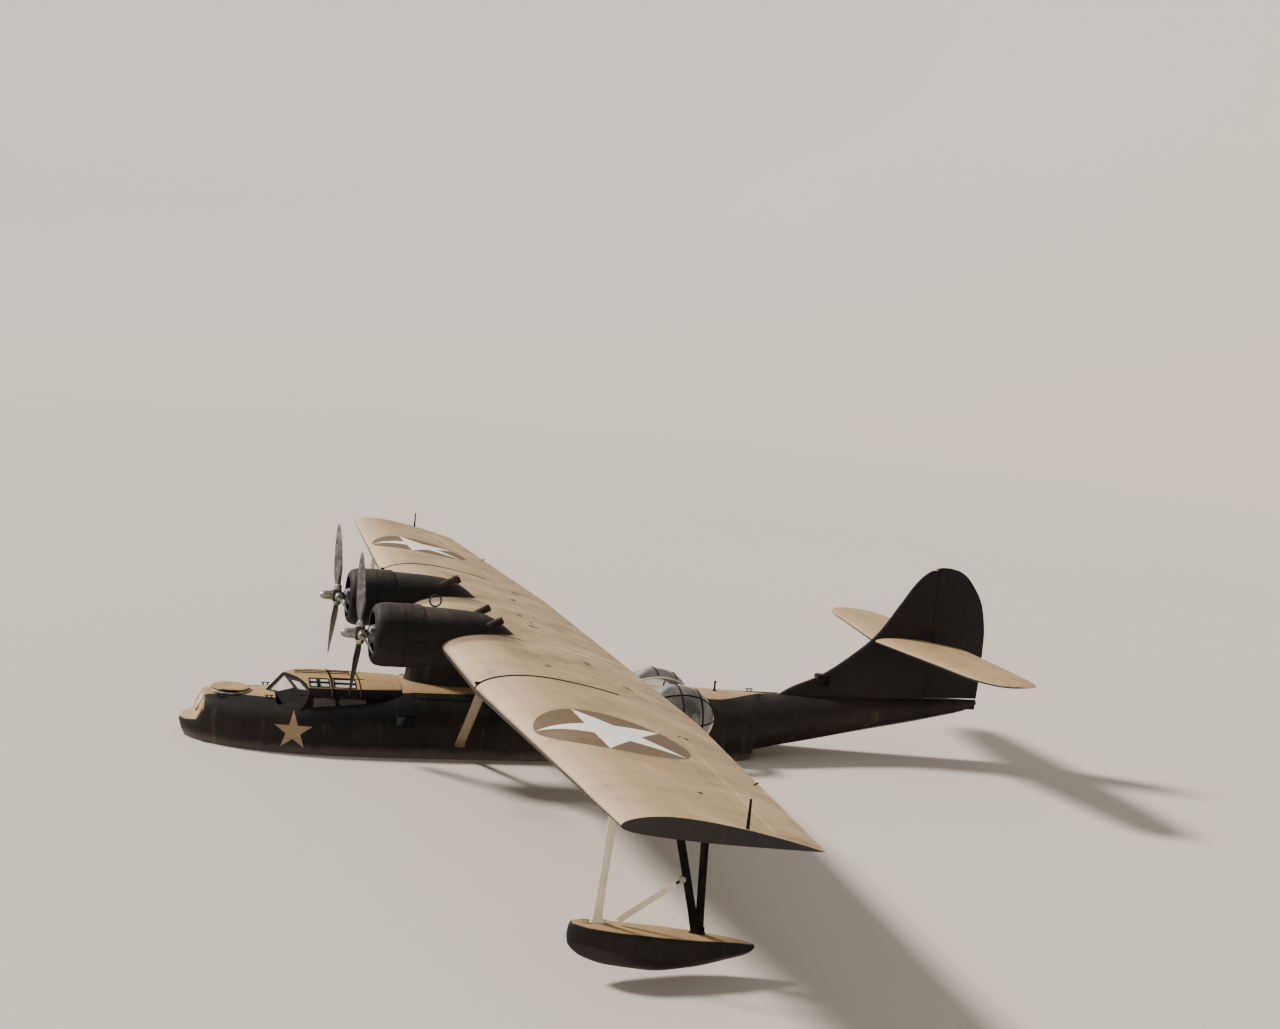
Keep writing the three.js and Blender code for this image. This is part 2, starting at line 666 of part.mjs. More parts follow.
// Exhaust stacks of the starboard nacelle: root [x, y, z] inside it, open end [x, y, z].
const STACKS = [
  [[5800, -290, 400], [6260, -320, 640]],
  [[5950, 300, 260], [6430, 330, 500]],
];
const STACK_WIDE = 160;

function nacelle() {
  const rings = NACELLE.map(([x, rise, wide, high]) => Array.from({ length: ROUND_SIDES }, (_, k) => {
    const turn = (2 * Math.PI * k) / ROUND_SIDES;
    return vec(x, wide * Math.cos(turn), rise + high * Math.sin(turn));
  }));
  const wing = roomOf(wingCentre.translate(0, 0, -THRUST_Z), [[-1, 0, 1], [-1, 0, -1]]);
  const below = box(5600, 8000, -1000, 1000, -1500, -300);
  const stacks = STACKS.map(([root, end]) => bar(
    vec(...root), vec(...end), STACK_WIDE, STACK_WIDE, vec(0, 0, 1), 10,
  ));
  return loft(rings).add(join(stacks)).subtract(below).subtract(wing);
}

function cowling() {
  const { front, rear, radius, mouth } = COWL;
  return turned([
    [rear, 645],
    [front + 300, radius - 26],
    [front + 140, radius - 48],
    [front + 60, mouth + 35],
    [front + 20, mouth],
    [front, mouth + 35],
    [front + 30, radius - 90],
    [front + 110, radius - 30],
    [front + 300, radius],
    [rear - 200, radius],
    [rear, radius - 15],
    [rear, 645],
  ]);
}

function engine() {
  const crankcase = turned([
    [NOSE_CASE_X, 0], [NOSE_CASE_X, 90], [NOSE_CASE_X + 60, 150], [NOSE_CASE_X + 230, 230],
    [NOSE_CASE_X + 300, 270], [FIREWALL_X - SEAT_GAP, 270], [FIREWALL_X - SEAT_GAP, 0],
  ], 14);
  const cylinders = [];
  for (let row = 0; row < 2; row += 1) {
    for (let k = 0; k < CYLINDERS_PER_ROW; k += 1) {
      const turn = (2 * Math.PI * (k + row / 2)) / CYLINDERS_PER_ROW;
      const out = vec(0, Math.sin(turn), Math.cos(turn));
      const at = vec(NOSE_CASE_X + 410 + 230 * row, 0, 0);
      const barrel = bar(
        at.clone().addScaledVector(out, 200), at.clone().addScaledVector(out, 560), 190, 190, vec(1, 0, 0), 8,
      );
      const head = bar(
        at.clone().addScaledVector(out, 470), at.clone().addScaledVector(out, 620), 170, 260, vec(1, 0, 0), 6,
      );
      cylinders.push(barrel, head);
    }
  }
  return join([crankcase, ...cylinders]);
}

// Propeller blade: columns radius, chord, thickness, pitch in degrees.
const BLADE = [
  [110, 120, 115, 60],
  [300, 150, 100, 52],
  [700, 270, 55, 40],
  [1200, 290, 34, 29],
  [1600, 220, 20, 23],
  [1780, 130, 12, 21],
  [PROP_RADIUS, 40, 6, 20],
];
const BLADE_TURNS = [60, 180, 300];

function propeller() {
  const rings = BLADE.map(([r, chord, thick, pitch]) => {
    const twist = THREE.MathUtils.degToRad(pitch);
    return Array.from({ length: 12 }, (_, k) => {
      const turn = (2 * Math.PI * k) / 12;
      const [a, b] = [(chord / 2) * Math.cos(turn), (thick / 2) * Math.sin(turn)];
      return vec(a * Math.sin(twist) + b * Math.cos(twist), r, -a * Math.cos(twist) + b * Math.sin(twist));
    });
  });
  const blade = toGeometry(loft(rings));
  const blades = BLADE_TURNS.map((deg) => {
    const turned = blade.clone().rotateX(THREE.MathUtils.degToRad(deg));
    return toSolid(turned);
  });
  const tail = NOSE_CASE_X - PROP_X - SEAT_GAP;
  const hub = turned([
    [-430, 0], [-420, 40], [-380, 80], [-300, 105], [-140, 110], [-120, 150], [70, 150], [80, 85],
    [tail, 85], [tail, 0],
  ], 16);
  return join([hub, ...blades]);
}

// Tip float in the hinge frame: columns x, deck z, half width, chine z, keel z, all below the hinge.
const FLOAT_SECTIONS = [
  [250, 10, 40, 260, 300],
  [340, 0, 130, 270, 400],
  [560, 0, 240, 280, 530],
  [1000, 0, 300, 320, 620],
  [1650, 0, 310, 340, 640],
  [2350, 0, 260, 300, 520],
  [2900, 10, 150, 220, 340],
  [3260, 40, 50, 130, 190],
  [3320, 60, 20, 100, 130],
];
// Half width of the flat deck, as a share of the float's own.
const FLOAT_DECK_SHARE = 0.62;

function tipFloat() {
  return loft(FLOAT_SECTIONS.map(([x, deck, wide, chine, keel]) => {
    const flank = 0.4 * chine + 0.6 * deck;
    const half = [[0, keel], [wide, chine], [wide, flank], [FLOAT_DECK_SHARE * wide, deck + 8]];
    const point = ([y, drop]) => vec(x, FLOAT_OFFSET + y, -FLOAT_DECK - drop);
    return [
      ...half.map(point),
      point([0, deck]),
      ...half.slice(1).reverse().map(([y, drop]) => point([-y, drop])),
    ];
  }));
}

function floatFrame() {
  const members = FLOAT_MEMBERS.map((member) => {
    const { a, b, along } = memberEnds(member, 100);
    const flat = vec(-along.y, 0, along.x);
    return bar(vec(a.x, 0, a.y), vec(b.x, 0, b.y), member.chord, LEG.thick, flat);
  });
  const half = LEG.barrel / 2;
  const barrels = FLOAT_BARRELS.map((x) => bar(
    vec(x - half, 0, 0), vec(x + half, 0, 0), 2 * LEG.barrelRadius, 2 * LEG.barrelRadius, vec(0, 1, 0),
  ));
  return join([...members, ...barrels]).subtract(roomOf(tipFloat(), [[0, 0, 1]]));
}

// Blisters

function blister() {
  return blisterShape(0)
    .subtract(blisterShape(BLISTER.thick))
    .subtract(roomOf(hullWhole, [[1, 2, -1], [2, 1, 1]]))
    .subtract(box(9000, 14000, -1500, 300, 0, 4000));
}

// Tail: columns z, leading x, trailing x, full thickness.
const FIN_SECTIONS = [
  [2500, 13900, 19480, 330],
  [2800, 14450, 19490, 320],
  [3090, 15120, 19500, 310],
  [3490, 15720, 19500, 300],
  [4150, 16480, 19490, 270],
  [4940, 17030, 19350, 220],
  [5600, 17490, 18950, 150],
  [5870, 17840, 18600, 90],
  [5940, 18060, 18300, 40],
];

const finWhole = loft(FIN_SECTIONS.map(uprightRing));

function finAndRudder() {
  const [low, high] = [2625, 5890];
  const parts = splitFlap(
    finWhole, vec(RUDDER_HINGE_X, 0, low), vec(RUDDER_HINGE_X, 0, high), [95, 34], 'y', 20500,
  );
  const overhang = box(RUDDER_HINGE_X - 200, 20500, -1000, 1000, high - SWING_GAP, 7000);
  const crest = box(17000, 20500, -1000, 1000, high - SWING_GAP, 7000);
  return {
    fin: parts.fixed.subtract(crest).subtract(roomOf(hullWhole, [[0, 0, 1]])),
    rudder: parts.flap.add(finWhole.intersect(overhang)),
  };
}

// Stabilizer and elevator: columns y, leading x, trailing x, thickness as a share of the chord.
const TAILPLANE = [
  [STABILIZER_ROOT_Y, 16440, 18640, 0.12],
  [2600, 16830, 18600, 0.115],
  [3900, 17030, 18530, 0.11],
  [4400, 17260, 18410, 0.1],
  [4600, 17480, 18220, 0.09],
  [4650, 17660, 18050, 0.08],
];

function tailplane() {
  const whole = loft(TAILPLANE.map(([y, front, rear, thickness]) => wingRing({
    x: front, y, z: STABILIZER_Z, chord: rear - front, thickness,
  })));
  const notch = slab([[17820, 0], [17860, 215], [18900, 620], [18900, 0]], 'z', 3000, 5000);
  const parts = splitFlap(
    whole, vec(ELEVATOR_HINGE_X, 230, STABILIZER_Z), vec(ELEVATOR_HINGE_X, 4520, STABILIZER_Z),
    [72, 22], 'z', 20000,
  );
  return {
    fixed: parts.fixed.subtract(notch).subtract(roomOf(finWhole, [[0, 1, 0]])),
    flap: parts.flap.subtract(notch),
  };
}

// Small fittings

function wingMast() {
  const base = wingPoint(HALF_SPAN_FIXED - 60, 0.6);
  const rod = bar(base, base.clone().add(vec(0, 0, 480)), 44, 30, vec(1, 0, 0), 8);
  return rod.subtract(wingTipSolid.translate(0, 0, SEAT_GAP));
}

const wingTipSolid = loft([HALF_SPAN_CENTRE, HALF_SPAN_FIXED].map((y) => wingRing(wingAt(y))));

function loopAntenna() {
  const [foot, centreZ, radius] = [wingPoint(0, 0.07), 4420, 130];
  const ring = new THREE.TorusGeometry(radius, 20, 6, 18).rotateX(Math.PI / 2);
  const stem = bar(foot, vec(foot.x, 0, centreZ - radius), 70, 70, vec(1, 0, 0), 10);
  const loop = toSolid(ring.translate(foot.x, 0, centreZ));
  return stem.add(loop).subtract(wingCentre.translate(0, 0, SEAT_GAP));
}

// Assembly

const boat = new THREE.Group();
const frame = new THREE.Group();
frame.position.set(-ORIGIN_STATION, 0, -WATERLINE);
boat.add(frame);

function addMesh(name, shape, colour, parent = frame) {
  const geometry = shape.isBufferGeometry ? shape : toGeometry(shape);
  const mesh = new THREE.Mesh(geometry, new THREE.MeshStandardMaterial(COLOURS[colour]));
  mesh.name = name;
  parent.add(mesh);
  return mesh;
}

function addPair(name, shape, colour, parents = [frame, frame]) {
  const geometry = toGeometry(shape);
  addMesh(`${name}_port`, mirrored(geometry), colour, parents[0]);
  addMesh(`${name}_starboard`, geometry, colour, parents[1]);
}

addMesh('hull', hull(), 'side');
addMesh('bow_window', bowPane(), 'glass');
addMesh('bow_hatch', bowHatch(), 'topside');
addMesh('cockpit_enclosure', canopy(), 'side');
addMesh('cockpit_glass', canopyGlass(), 'glass');
addMesh('instrument_panel', instrumentPanel(), 'dark');
addMesh('control_yoke', controlYoke(), 'metal');
addPair('pilot_seat', pilotSeat(450), 'seat');
addPair('blister', blister(), 'glass');
addMesh('pylon', pylon(), 'side');
addMesh('wing_centre', wingCentre, 'topside');

const outer = outerWing();
addPair('wing_outer', outer.fixed, 'topside');
addPair('aileron', outer.flap, 'topside');
for (const [name, foot, head, chord] of STRUTS) {
  addPair(`wing_strut_${name}`, wingStrut(foot, head, chord), 'metal');
}

// Engine sets, placed on their thrust lines.
const engineSet = {
  nacelle: [nacelle(), 'side'],
  engine: [engine(), 'dark'],
  cowling: [cowling(), 'side'],
};
const propellerShape = toGeometry(propeller());
for (const [side, y] of [['starboard', ENGINE_Y], ['port', -ENGINE_Y]]) {
  const thrustLine = new THREE.Group();
  thrustLine.position.set(0, y, THRUST_Z);
  frame.add(thrustLine);
  for (const [name, [shape, colour]] of Object.entries(engineSet)) {
    const geometry = toGeometry(shape);
    addMesh(`${name}_${side}`, y > 0 ? geometry : mirrored(geometry), colour, thrustLine);
  }
  const hub = addMesh(`propeller_${side}`, propellerShape.clone(), 'blade', thrustLine);
  hub.position.set(PROP_X, 0, 0);
}

// Floats, in groups that lie on their hinges and lean with the wing.
const hinges = [-1, 1].map((side) => {
  const hinge = new THREE.Group();
  hinge.position.set(floatHinge.x, side * floatHinge.y, floatHinge.z);
  hinge.rotation.y = INCIDENCE;
  frame.add(hinge);
  return hinge;
});
addPair('float_frame', floatFrame(), 'topside', hinges);
addPair('float', tipFloat(), 'side', hinges);

const tail = finAndRudder();
addMesh('fin', tail.fin, 'side');
addMesh('rudder', tail.rudder, 'topside');
const stabilizer = tailplane();
addPair('stabilizer', stabilizer.fixed, 'topside');
addPair('elevator', stabilizer.flap, 'topside');

addPair('wing_mast', wingMast(), 'metal');
addMesh('loop_antenna', loopAntenna(), 'dark');

export default boat;
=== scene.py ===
"""Finish of a twin-engined flying boat afloat: its skins, glass, engines, fittings, paint and the studio floor."""
import functools
import math

import bmesh
import bpy
import numpy as np
from bpy.props import FloatProperty, FloatVectorProperty, IntProperty, PointerProperty
from mathutils import Matrix, Vector


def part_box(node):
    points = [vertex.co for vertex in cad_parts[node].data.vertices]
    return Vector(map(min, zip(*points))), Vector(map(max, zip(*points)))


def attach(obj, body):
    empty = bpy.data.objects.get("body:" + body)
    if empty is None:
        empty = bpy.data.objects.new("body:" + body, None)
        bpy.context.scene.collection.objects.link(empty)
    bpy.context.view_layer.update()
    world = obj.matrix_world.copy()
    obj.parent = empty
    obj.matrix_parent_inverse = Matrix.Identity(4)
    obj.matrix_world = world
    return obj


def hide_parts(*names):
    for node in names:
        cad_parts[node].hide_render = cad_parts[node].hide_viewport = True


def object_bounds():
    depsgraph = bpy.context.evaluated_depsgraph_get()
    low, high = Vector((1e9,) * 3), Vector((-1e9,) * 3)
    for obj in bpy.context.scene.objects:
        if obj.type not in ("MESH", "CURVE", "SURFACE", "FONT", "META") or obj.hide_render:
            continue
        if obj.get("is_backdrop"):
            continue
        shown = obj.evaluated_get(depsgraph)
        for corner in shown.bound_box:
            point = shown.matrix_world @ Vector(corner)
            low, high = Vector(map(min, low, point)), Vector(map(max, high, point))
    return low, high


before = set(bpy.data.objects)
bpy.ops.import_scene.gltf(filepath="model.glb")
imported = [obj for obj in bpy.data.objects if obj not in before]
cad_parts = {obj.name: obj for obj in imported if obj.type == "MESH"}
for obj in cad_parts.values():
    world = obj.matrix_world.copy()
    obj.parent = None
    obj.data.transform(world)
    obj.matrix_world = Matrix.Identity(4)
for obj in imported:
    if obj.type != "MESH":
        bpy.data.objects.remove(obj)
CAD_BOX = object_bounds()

bl_info = {
    "name": "Flying boat finish",
    "version": (1, 0, 0),
    "blender": (4, 5, 0),
    "location": "View3D > Sidebar > Flying Boat",
    "description": "Skins, glass, engines, fittings and paint of a flying boat, and its studio floor",
    "category": "Object",
}

# Lengths are metres. Shapes are drawn on stations: aft from the bow tip, to starboard, up from a base line.
ORIGIN = np.array([7.0, 0.0, 1.15])
INCIDENCE = math.radians(6.7)
SIDES = (("port", -1), ("starboard", 1))

# Hull sections: x, keel z, chine y, chine z, side y, side z, top z, squareness of the top.
FOREBODY = [
    [0, 1.43, .09, 1.53, .1, 1.57, 1.63, 2.5],
    [.12, 1.18, .26, 1.45, .29, 1.54, 1.68, 2.5],
    [.3, .9, .42, 1.33, .48, 1.56, 1.74, 2.6],
    [.48, .67, .55, 1.22, .63, 1.56, 2.165, 3.4],
    [.8, .4, .73, 1.1, .82, 1.53, 2.19, 3.2],
    [1.3, .27, .98, .96, 1.04, 1.5, 2.2, 3],
    [1.9, .215, 1.2, .87, 1.22, 1.48, 2.225, 2.8],
    [2.7, .2, 1.4, .81, 1.37, 1.48, 2.38, 2.5],
    [3.6, .2, 1.51, .78, 1.43, 1.5, 2.48, 2.3],
    [5, .2, 1.55, .76, 1.45, 1.5, 2.6, 2.2],
    [7.6, .2, 1.55, .76, 1.45, 1.5, 2.6, 2.2],
]
AFTERBODY = [
    [7.5, .37, 1.5, .89, 1.45, 1.5, 2.6, 2.2],
    [9.5, .54, 1.4, .96, 1.42, 1.53, 2.6, 2.2],
    [11.5, .79, 1.23, 1.08, 1.31, 1.6, 2.6, 2.2],
    [13.1, 1.01, 1, 1.21, 1.11, 1.72, 2.56, 2.2],
]
TAILBODY = [
    [13, 1.14, .94, 1.4, 1.118, 1.714, 2.562, 2.2],
    [14.5, 1.37, .64, 1.6, .8, 1.9, 2.57, 2.2],
    [16.5, 1.75, .38, 1.93, .5, 2.13, 2.59, 2.2],
    [18.3, 2.11, .19, 2.23, .24, 2.35, 2.6, 2.1],
    [19.36, 2.39, .06, 2.44, .08, 2.49, 2.59, 2],
    [19.5, 2.48, .02, 2.5, .025, 2.52, 2.55, 2],
]
STEPS = (7.6, 13.1)
BOW_FOOT, BOW_HEAD = (.31, 1.76), (.5, 2.15)
HATCH = {"x": 1.03, "radius": .42, "well": .36, "floor": 1.45, "rim": 2.245, "lid": .036}
COCKPIT = {"front": 1.98, "rear": 4.15, "half": .9, "floor": 1.25}
WAIST = {"front": 10.45, "rear": 12.15, "half": .9, "floor": 1.15, "top": 2.12}
BLISTER = {"centre": (11.15, .88, 2.13), "radii": (.9, .76, .76)}

# Canopy: x, half width at the sill, sill z, roof z, squareness.
CANOPY = [
    [1.7, .96, 1.95, 2.64, 2.6],
    [2.3, 1.09, 1.98, 2.64, 2.6],
    [3.3, 1.12, 2, 2.63, 2.6],
    [3.9, 1.12, 2.02, 2.625, 2.5],
    [4.7, 1.08, 2.05, 2.6, 2.3],
]
WINDSCREEN = {"foot": (1.81, 0, 2.215), "head": (2.15, 0, 2.62), "side": (2.48, 1.0, 2.15)}

# Fin and rudder together: z, leading x, trailing x, thickness.
FIN = [
    [2.3, 13.4, 19.47, .33],
    [2.5, 13.9, 19.48, .33],
    [2.8, 14.45, 19.49, .32],
    [3.09, 15.12, 19.5, .31],
    [3.49, 15.72, 19.5, .3],
    [4.15, 16.48, 19.49, .27],
    [4.94, 17.03, 19.35, .22],
    [5.6, 17.49, 18.95, .15],
    [5.87, 17.84, 18.6, .09],
    [5.94, 18.06, 18.3, .04],
]
RUDDER = {"hinge": 18.0, "low": 2.625, "high": 5.875}
# Tailplane: y, leading x, trailing x, thickness as a share of the chord.
TAILPLANE = [
    [.06, 16.44, 18.64, .12],
    [2.6, 16.83, 18.6, .115],
    [3.9, 17.03, 18.53, .11],
    [4.4, 17.26, 18.41, .1],
    [4.6, 17.48, 18.22, .09],
    [4.65, 17.66, 18.05, .08],
]
ELEVATOR = {"hinge": 17.93, "inner": .23, "outer": 4.52, "z": 3.99}

# Wing
HALF_CENTRE, HALF_FIXED = 6.45, 15.1
AILERON = {"inner": 9.0, "outer": 14.9, "hinge": .77, "lift": .012}
PYLON = [
    [2.25, 4.5, 9.5, 1.15],
    [2.65, 4.85, 9.1, .96],
    [3.35, 4.9, 9, .94],
    [4.05, 4.7, 9.3, 1.15],
]
STRUTS = {
    "front": ((5.97, 1.45, 1.47), (5.68, 4.7, 3.64), .21),
    "rear": ((8.0, 1.43, 1.48), (7.65, 4.7, 3.3), .19),
}

# Engines, about the thrust line: x, rise, half width, half height of the nacelle.
ENGINE_Y, THRUST_Z, PROP_X = 2.17, 4.03, 3.48
THRUST_HEIGHT = THRUST_Z - float(ORIGIN[2])  # in the part's frame
HULL_STAR = (2.34 - float(ORIGIN[0]), 1.63 - float(ORIGIN[2]))  # its centre in the part's frame, x and z
COWL = {"front": 3.7, "rear": 4.72, "radius": .68, "mouth": .47}
NOSE_CASE_X, FIREWALL_X = 3.6, 4.6
NACELLE = [
    [4.6, 0, .6447, .6447],
    [4.74, 0, .64, .64],
    [5.3, 0, .61, .62],
    [5.7, 0, .57, .595],
    [6.05, 0, .51, .55],
    [6.25, 0, .44, .48],
    [6.5, 0, .31, .34],
    [6.7, 0, .18, .19],
    [6.85, 0, .06, .07],
]
# Exhaust stacks of the starboard nacelle, about its thrust line: root and open end.
STACKS = (((5.8, -.29, .4), (6.26, -.32, .64)), ((5.95, .3, .26), (6.43, .33, .5)))
# Blade: radius, chord, thickness, pitch in degrees.
BLADE = [
    [.11, .12, .115, 60],
    [.3, .15, .1, 52],
    [.7, .27, .055, 40],
    [1.2, .29, .034, 29],
    [1.6, .22, .02, 23],
    [1.78, .13, .012, 21],
    [1.83, .04, .006, 20],
]
BLADE_TURNS = (60, 180, 300)

# Tip floats, in the frame of their hinge: x along the wing chord, z square to it.
FLOAT_HINGE_Y, FLOAT_HINGE_DROP, FLOAT_DECK, FLOAT_OFFSET = 13.25, .12, 1.89, .06
FLOAT_MEMBERS = [
    ((.57, 0), (.7, -1.89), .16),
    ((1.555, 0), (2.325, -1.89), .16),
    ((2.065, 0), (2.375, -1.89), .16),
    ((1.915, -1.07), (1.025, -1.83), .11),
    ((.655, -1.865), (.855, -1.865), .07),
]
FLOAT_BARRELS = (.57, 1.555, 2.065)
LEG = {"thick": .06, "barrel": .24}
# Float: x, deck z, half width, chine z, keel z, all below the hinge.
FLOAT = [
    [.25, .01, .04, .26, .3],
    [.34, 0, .13, .27, .4],
    [.56, 0, .24, .28, .53],
    [1, 0, .3, .32, .62],
    [1.65, 0, .31, .34, .64],
    [2.35, 0, .26, .3, .52],
    [2.9, .01, .15, .22, .34],
    [3.26, .04, .05, .13, .19],
    [3.32, .06, .02, .1, .13],
]
FLOAT_DECK_SHARE = .62


# The way to the main light
KEY_WAY = (-.72, .4, .62)


# Curves and rings

def through(xs, ys, at):
    """Smooth curve through the points that never overshoots them, read at the places asked for."""
    xs, ys, at = (np.asarray(a, float) for a in (xs, ys, at))
    step = np.diff(xs)
    rise = np.diff(ys) / step
    slope = np.zeros_like(ys)
    slope[0], slope[-1] = rise[0], rise[-1]
    for k in range(1, len(xs) - 1):
        if rise[k - 1] * rise[k] > 0:
            near, far = 2 * step[k] + step[k - 1], step[k] + 2 * step[k - 1]
            slope[k] = (near + far) / (near / rise[k - 1] + far / rise[k])
    k = np.clip(np.searchsorted(xs, at, side="right") - 1, 0, len(xs) - 2)
    t = (at - xs[k]) / step[k]
    return (
        ys[k] * (1 + 2 * t) * (1 - t) ** 2 + ys[k + 1] * t * t * (3 - 2 * t)
        + step[k] * (slope[k] * t * (1 - t) ** 2 - slope[k + 1] * t * t * (1 - t))
    )


def table_at(table, places):
    """Rows of a table at other places of its first column."""
    table = np.asarray(table, float)
    return np.column_stack([places] + [through(table[:, 0], c, places) for c in table.T[1:]])


def places(start, end, count, *knots):
    """Even places from start to end, with the given ones among them."""
    return np.unique(np.round(np.append(np.linspace(start, end, count), knots), 5))


def circle(count, start=0.0):
    turn = start + 2 * np.pi * np.arange(count) / count
    return np.cos(turn), np.sin(turn)


def skin(rings, caps=True, closed=False):
    """Points and faces of a skin over rings of equal count, closed at its ends or into a loop."""
    rings = np.asarray(rings, float)
    n, c = rings.shape[:2]
    links = [(r, (r + 1) % n) for r in range(n if closed else n - 1)]
    faces = [(a * c + k, a * c + (k + 1) % c, b * c + (k + 1) % c, b * c + k) for a, b in links for k in range(c)]
    if caps and not closed:
        faces += [tuple(range(c))[::-1], tuple((n - 1) * c + k for k in range(c))]
    return rings.reshape(-1, 3), faces


def turned(profile, centre=(0, 0, 0), axis="x", sides=48, closed=False):
    """Round body about an axis; profile holds distance along it and radius."""
    c, s = circle(sides)
    rings = []
    for along, radius in profile:
        flat = np.full(sides, float(along))
        ring = {"x": (flat, radius * c, radius * s), "z": (radius * c, radius * s, flat),
                "y": (radius * s, flat, radius * c)}[axis]
        rings.append(np.column_stack(ring) + centre)
    return skin(rings, closed=closed)


def frames_along(path):
    """Two cross directions at each point of a path, turning as little as they can."""
    path = np.asarray(path, float)
    along = np.gradient(path, axis=0)
    along /= np.linalg.norm(along, axis=1)[:, None]
    side = np.cross(along[0], (0, 0, 1) if abs(along[0][2]) < .9 else (1, 0, 0))
    sides = []
    for t in along:
        side = side - t * side.dot(t)
        side /= np.linalg.norm(side)
        sides.append(side)
    sides = np.array(sides)
    return path, sides, np.cross(along, sides)


def tube(path, radius, sides=10):
    """Round tube along a path, of one radius or of one at each point."""
    path, a, b = frames_along(path)
    radius = np.broadcast_to(np.asarray(radius, float), len(path))
    c, s = circle(sides)
    return skin([p + r * (np.outer(c, u) + np.outer(s, v)) for p, r, u, v in zip(path, radius, a, b)])


def bar(a, b, wide, thick, flat=(1, 0, 0), sides=24, count=2, shape=None):
    """Streamlined bar from a to b, `wide` along `flat`; `shape` gives its share of size along it."""
    a, b, flat = (np.asarray(p, float) for p in (a, b, flat))
    along = (b - a) / np.linalg.norm(b - a)
    across = flat - along * flat.dot(along)
    across /= np.linalg.norm(across)
    other = np.cross(along, across)
    c, s = circle(sides)
    blunt = c + .12 * (1 - c * c)
    rings = []
    for t in np.linspace(0, 1, count):
        size = shape(t) if shape else 1
        rings.append(a + (b - a) * t + np.outer(size * wide / 2 * blunt, across)
                     + np.outer(size * thick / 2 * s, other))
    return skin(rings)


def hoop(at, radius, thick, sides, count):
    """Round ring about a line along x."""
    c, s = circle(sides)
    rings = []
    for turn in np.linspace(0, 2 * np.pi, count, endpoint=False):
        reach = radius + thick * math.sin(turn)
        rings.append(np.column_stack([np.full(sides, thick * math.cos(turn)), reach * c, reach * s]) + at)
    return skin(rings, closed=True)


def rounded(width, height, radius, steps=5):
    """Outline of a rectangle with round corners, about its middle."""
    points = []
    for k, (sx, sy) in enumerate(((1, 1), (-1, 1), (-1, -1), (1, -1))):
        for turn in np.linspace(k * np.pi / 2, (k + 1) * np.pi / 2, steps + 1):
            points.append((sx * (width / 2 - radius) + radius * math.cos(turn),
                           sy * (height / 2 - radius) + radius * math.sin(turn)))
    return np.array(points)


def block(centre, size, edge, turn=None, corner=None):
    """Solid with softened edges and corners."""
    w, d, h = size
    corner = corner or 1.5 * edge
    rings = []
    for z, inset in ((-h / 2, edge), (-h / 2 + edge * .3, edge * .3), (-h / 2 + edge, 0),
                     (h / 2 - edge, 0), (h / 2 - edge * .3, edge * .3), (h / 2, edge)):
        flat = rounded(w - 2 * inset, d - 2 * inset, max(corner - inset, edge * .3))
        rings.append(np.column_stack([flat, np.full(len(flat), z)]))
    points, faces = skin(rings)
    if turn is not None:
        points = points @ np.array(turn.to_3x3()).T
    return points + centre, faces


def prism(outline, axis, low, high):
    """Outline raised along an axis: points are (x, y) for z and (x, z) for y."""
    outline = np.asarray(outline, float)
    rings = []
    for at in (low, high):
        flat = np.full(len(outline), float(at))
        columns = (outline[:, 0], outline[:, 1], flat) if axis == "z" else (outline[:, 0], flat, outline[:, 1])
        rings.append(np.column_stack(columns))
    return skin(rings)


def other_side(points):
    return np.asarray(points) * (1, -1, 1)


class Shape:
    """A piece while it is drawn: points on stations, faces, and the number of each face's finish."""

    def __init__(self):
        self.points, self.faces, self.looks = [], [], []

    def add(self, part, look=0, side=1):
        points, faces = part
        points = np.asarray(points, float) * (1, side, 1)
        base = sum(len(p) for p in self.points)
        self.points.append(points)
        self.faces += [tuple(base + i for i in face) for face in faces]
        self.looks += [look] * len(faces)
        return self

    def mesh(self, name):
        mesh = bpy.data.meshes.new(name)
        mesh.from_pydata((np.concatenate(self.points) - ORIGIN).tolist(), [], self.faces)
        mesh.polygons.foreach_set("material_index", self.looks)
        tidy_mesh(mesh)
        return mesh


def shape_of(*parts):
    shape = Shape()
    for part in parts:
        shape.add(part)
    return shape


def tidy_mesh(mesh, sharp=33):
    """Closes seams and poles, turns faces outwards and keeps edges crisp past an angle in degrees."""
    work = bmesh.new()
    work.from_mesh(mesh)
    bmesh.ops.remove_doubles(work, verts=work.verts, dist=3e-5)
    bmesh.ops.dissolve_degenerate(work, dist=2e-5, edges=work.edges)
    bmesh.ops.recalc_face_normals(work, faces=work.faces)
    limit = math.radians(sharp)
    for edge in work.edges:
        edge.smooth = len(edge.link_faces) == 2 and edge.calc_face_angle(0) < limit
    for face in work.faces:
        face.smooth = True
    work.to_mesh(mesh)
    work.free()


def new_object(name, mesh, looks=()):
    thing = bpy.data.objects.new(name, mesh)
    bpy.context.scene.collection.objects.link(thing)
    for look in looks:
        mesh.materials.append(finish(look))
    return thing


def piece(name, shape, body, looks, slot, stands_for=()):
    """Makes a shape a piece that rides on a body, with its finishes and what it stands for."""
    looks = [looks] if isinstance(looks, str) else looks
    thing = new_object(name, shape.mesh(name), looks)
    return settle(thing, body, slot, stands_for)


def settle(thing, body, slot, stands_for=()):
    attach(thing, body)
    if stands_for:
        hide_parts(*stands_for)
    return thing


def evaluated(thing):
    """Leaves an object with the plain mesh that its modifiers give, and without them."""
    graph = bpy.context.evaluated_depsgraph_get()
    mesh = bpy.data.meshes.new_from_object(thing.evaluated_get(graph), preserve_all_data_layers=True, depsgraph=graph)
    thing.modifiers.clear()
    thing.data = mesh
    return thing


